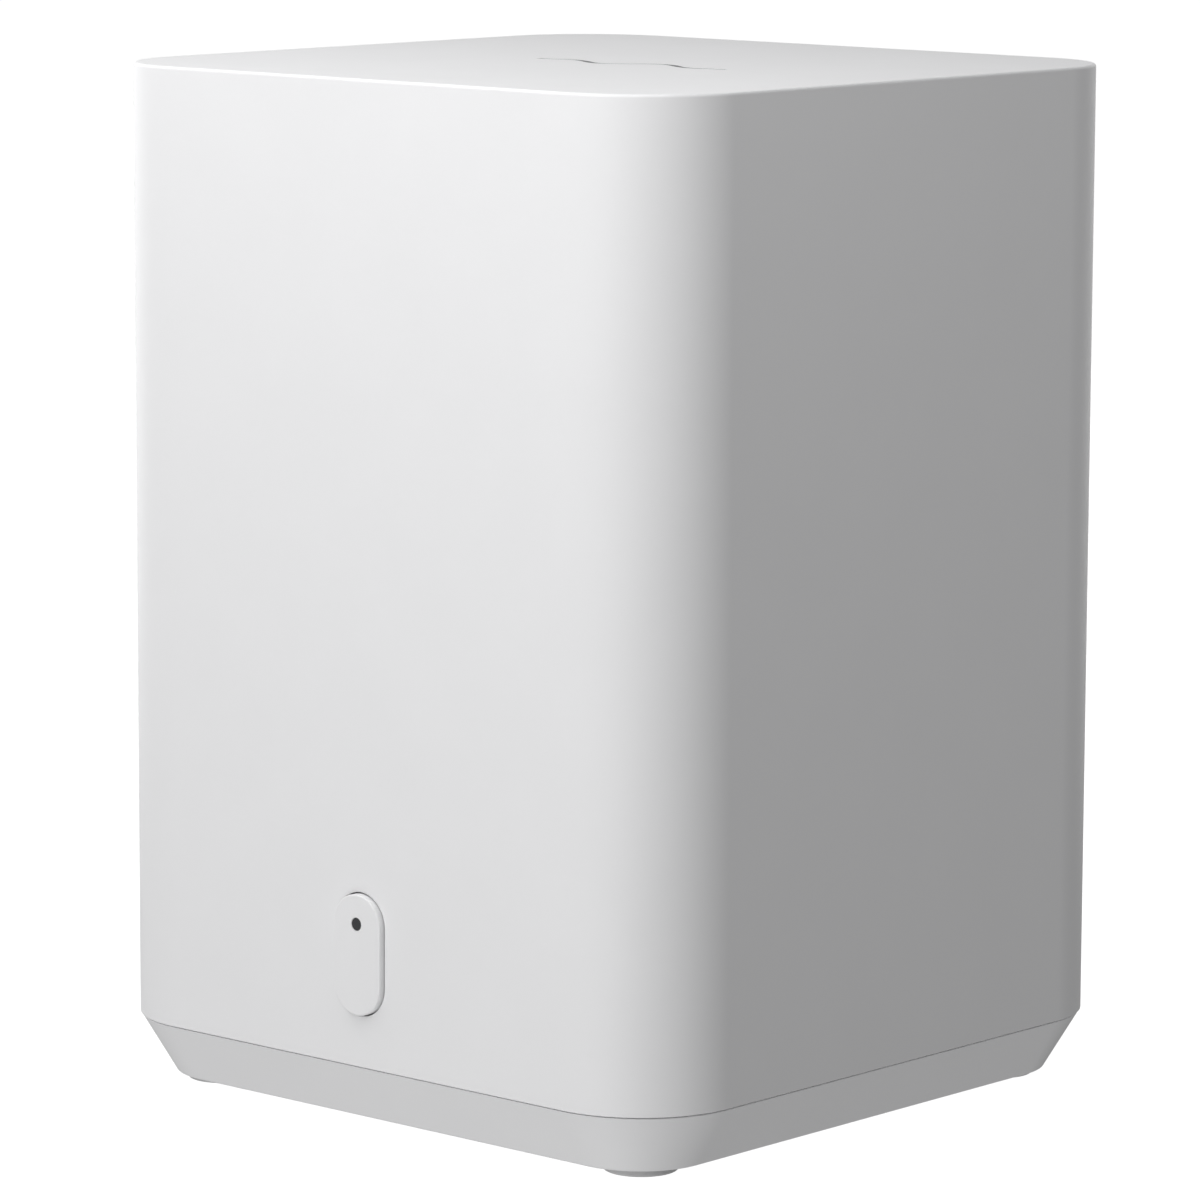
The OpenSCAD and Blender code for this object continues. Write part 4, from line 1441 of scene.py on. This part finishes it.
@dataclass(frozen=True)
class Viewpoint:
    """Where the camera stands, in degrees and metres from its aim."""

    azimuth: float = 41.718
    elevation: float = 8.752
    roll: float = 0.242
    distance: float = 880.2 * MM
    aim: tuple[float, float, float] = (-2.702 * MM, 0.0, 71.464 * MM)
    lens: float = 177.95
    sensor: float = 36.0
    clip: tuple[float, float] = (0.05, 50.0)

    def build(self) -> None:
        """Makes the camera."""
        turn, lean = math.radians(self.azimuth), math.radians(self.roll)
        back = towards(self.azimuth, self.elevation)
        right = at(math.cos(turn), math.sin(turn), 0)
        up = back.cross(right)
        across = right * math.cos(lean) + up * math.sin(lean)
        above = up * math.cos(lean) - right * math.sin(lean)
        data = bpy.data.cameras.new("camera")
        data.sensor_width, data.lens = self.sensor, self.lens
        data.clip_start, data.clip_end = self.clip
        camera = bpy.data.objects.new("camera", data)
        bpy.context.collection.objects.link(camera)
        axes = Matrix((across, above, back)).transposed()
        camera.matrix_world = Matrix.Translation(Vector(self.aim) + back * self.distance) @ axes.to_4x4()
        bpy.context.scene.camera = camera


@dataclass(frozen=True)
class SoftBox:
    """A square studio light that looks at the router and isn't seen itself."""

    name: str
    azimuth: float
    elevation: float
    distance: float
    side: float
    power: float
    aim_height: float = 75 * MM

    def build(self) -> None:
        """Makes the light."""
        away = towards(self.azimuth, self.elevation)
        data = bpy.data.lights.new(self.name, "AREA")
        data.shape = "SQUARE"
        data.size, data.energy = self.side, self.power
        lamp = bpy.data.objects.new(self.name, data)
        lamp.visible_camera = False
        bpy.context.collection.objects.link(lamp)
        lamp.location = away * self.distance + at(0, 0, self.aim_height)
        lamp.rotation_mode = "QUATERNION"
        lamp.rotation_quaternion = (-away).to_track_quat("-Z", "Y")


@dataclass
class Studio:
    """A plain white floor and background, soft lights and the camera."""

    view: Viewpoint = field(default_factory=Viewpoint)
    lights: tuple[SoftBox, ...] = (
        SoftBox("front", 5, 24, 0.5, 0.3, 0.70, 130 * MM),
        SoftBox("over_left", -60, 52, 0.34, 0.18, 0.31, 130 * MM),
        SoftBox("over_front_left", -20, 50, 0.34, 0.18, 0.205, 130 * MM),
        SoftBox("over_front_right", 20, 50, 0.34, 0.18, 0.165, 130 * MM),
        SoftBox("over_right", 60, 50, 0.34, 0.18, 0.205, 130 * MM),
        SoftBox("left", -98, 8, 0.9, 0.6, 2.3),
        SoftBox("rear", 190, 8, 0.9, 0.6, 1.3),
        SoftBox("under", 8, -40, 1.2, 0.9, 6.0, 0.0),
    )
    world_shown: float = 1.05
    world_light: float = 0.25
    floor_size: float = 12.0
    floor_glow: float = 0.94
    floor_tones: tuple[float, float] = (0.34, 0.36)
    fibre_scale: float = 400.0

    def world(self) -> None:
        """A white background that gives a softer light than it shows."""
        world = bpy.data.worlds.new("studio")
        bpy.context.scene.world = world
        tree = empty_tree(world)
        shown, light = (
            add_node(tree, "Background", {"Color": (1, 1, 1, 1), "Strength": strength}).outputs["Background"]
            for strength in (self.world_shown, self.world_light)
        )
        seen = add_node(tree, "LightPath").outputs["Is Camera Ray"]
        both = add_node(tree, "MixShader", {0: seen, 1: light, 2: shown})
        add_node(tree, "OutputWorld", {"Surface": both.outputs["Shader"]})

    def floor(self) -> None:
        """The pale floor, seen only from above.

        It is translucent paper on glass: it shows nearly white, and the lamp under it shines through.
        """
        clear_selection()
        bpy.ops.mesh.primitive_plane_add(size=self.floor_size)
        floor = bpy.context.object
        floor.name = "floor"
        material = bpy.data.materials.new("floor_paper")
        tree = empty_tree(material)
        place = add_node(tree, "TexCoord").outputs["Object"]
        fibre = add_node(tree, "TexNoise", {"Vector": place, "Scale": self.fibre_scale}).outputs["Fac"]
        low, high = self.floor_tones
        tint = add_node(tree, "MapRange", {"Value": fibre, "To Min": low, "To Max": high}).outputs["Result"]
        shaded = add_node(tree, "BsdfDiffuse", {"Color": tint}).outputs["BSDF"]
        lit = add_node(tree, "Emission", {"Strength": self.floor_glow}).outputs["Emission"]
        shown = add_node(tree, "AddShader", {0: shaded, 1: lit}).outputs["Shader"]
        clear = add_node(tree, "BsdfTransparent").outputs["BSDF"]
        seen = add_node(tree, "LightPath").outputs["Is Camera Ray"]
        paper = add_node(tree, "MixShader", {0: seen, 1: clear, 2: shown}).outputs["Shader"]
        below = add_node(tree, "NewGeometry").outputs["Backfacing"]
        both = add_node(tree, "MixShader", {0: below, 1: paper, 2: clear}).outputs["Shader"]
        add_node(tree, "OutputMaterial", {"Surface": both})
        floor.data.materials.append(material)

    def build(self) -> None:
        """Makes the stage, the lights and the camera."""
        self.world()
        self.floor()
        for light in self.lights:
            light.build()
        self.view.build()
        bpy.context.scene.view_settings.view_transform = "Standard"


def main() -> None:
    """Builds the router's pieces around its frame."""
    logging.basicConfig(level=logging.INFO, format="%(name)s: %(message)s")
    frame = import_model()
    plan = Plan()
    finishes = Finishes()
    Studio().build()
    Housing(plan, finishes).build()
    Base(plan, finishes).build()
    PairingButton(plan, finishes).build()
    RearPanel(finishes).build()
    Inside(frame["nodes"], finishes).build()
    clear_selection()


if __name__ == "__main__":
    main()
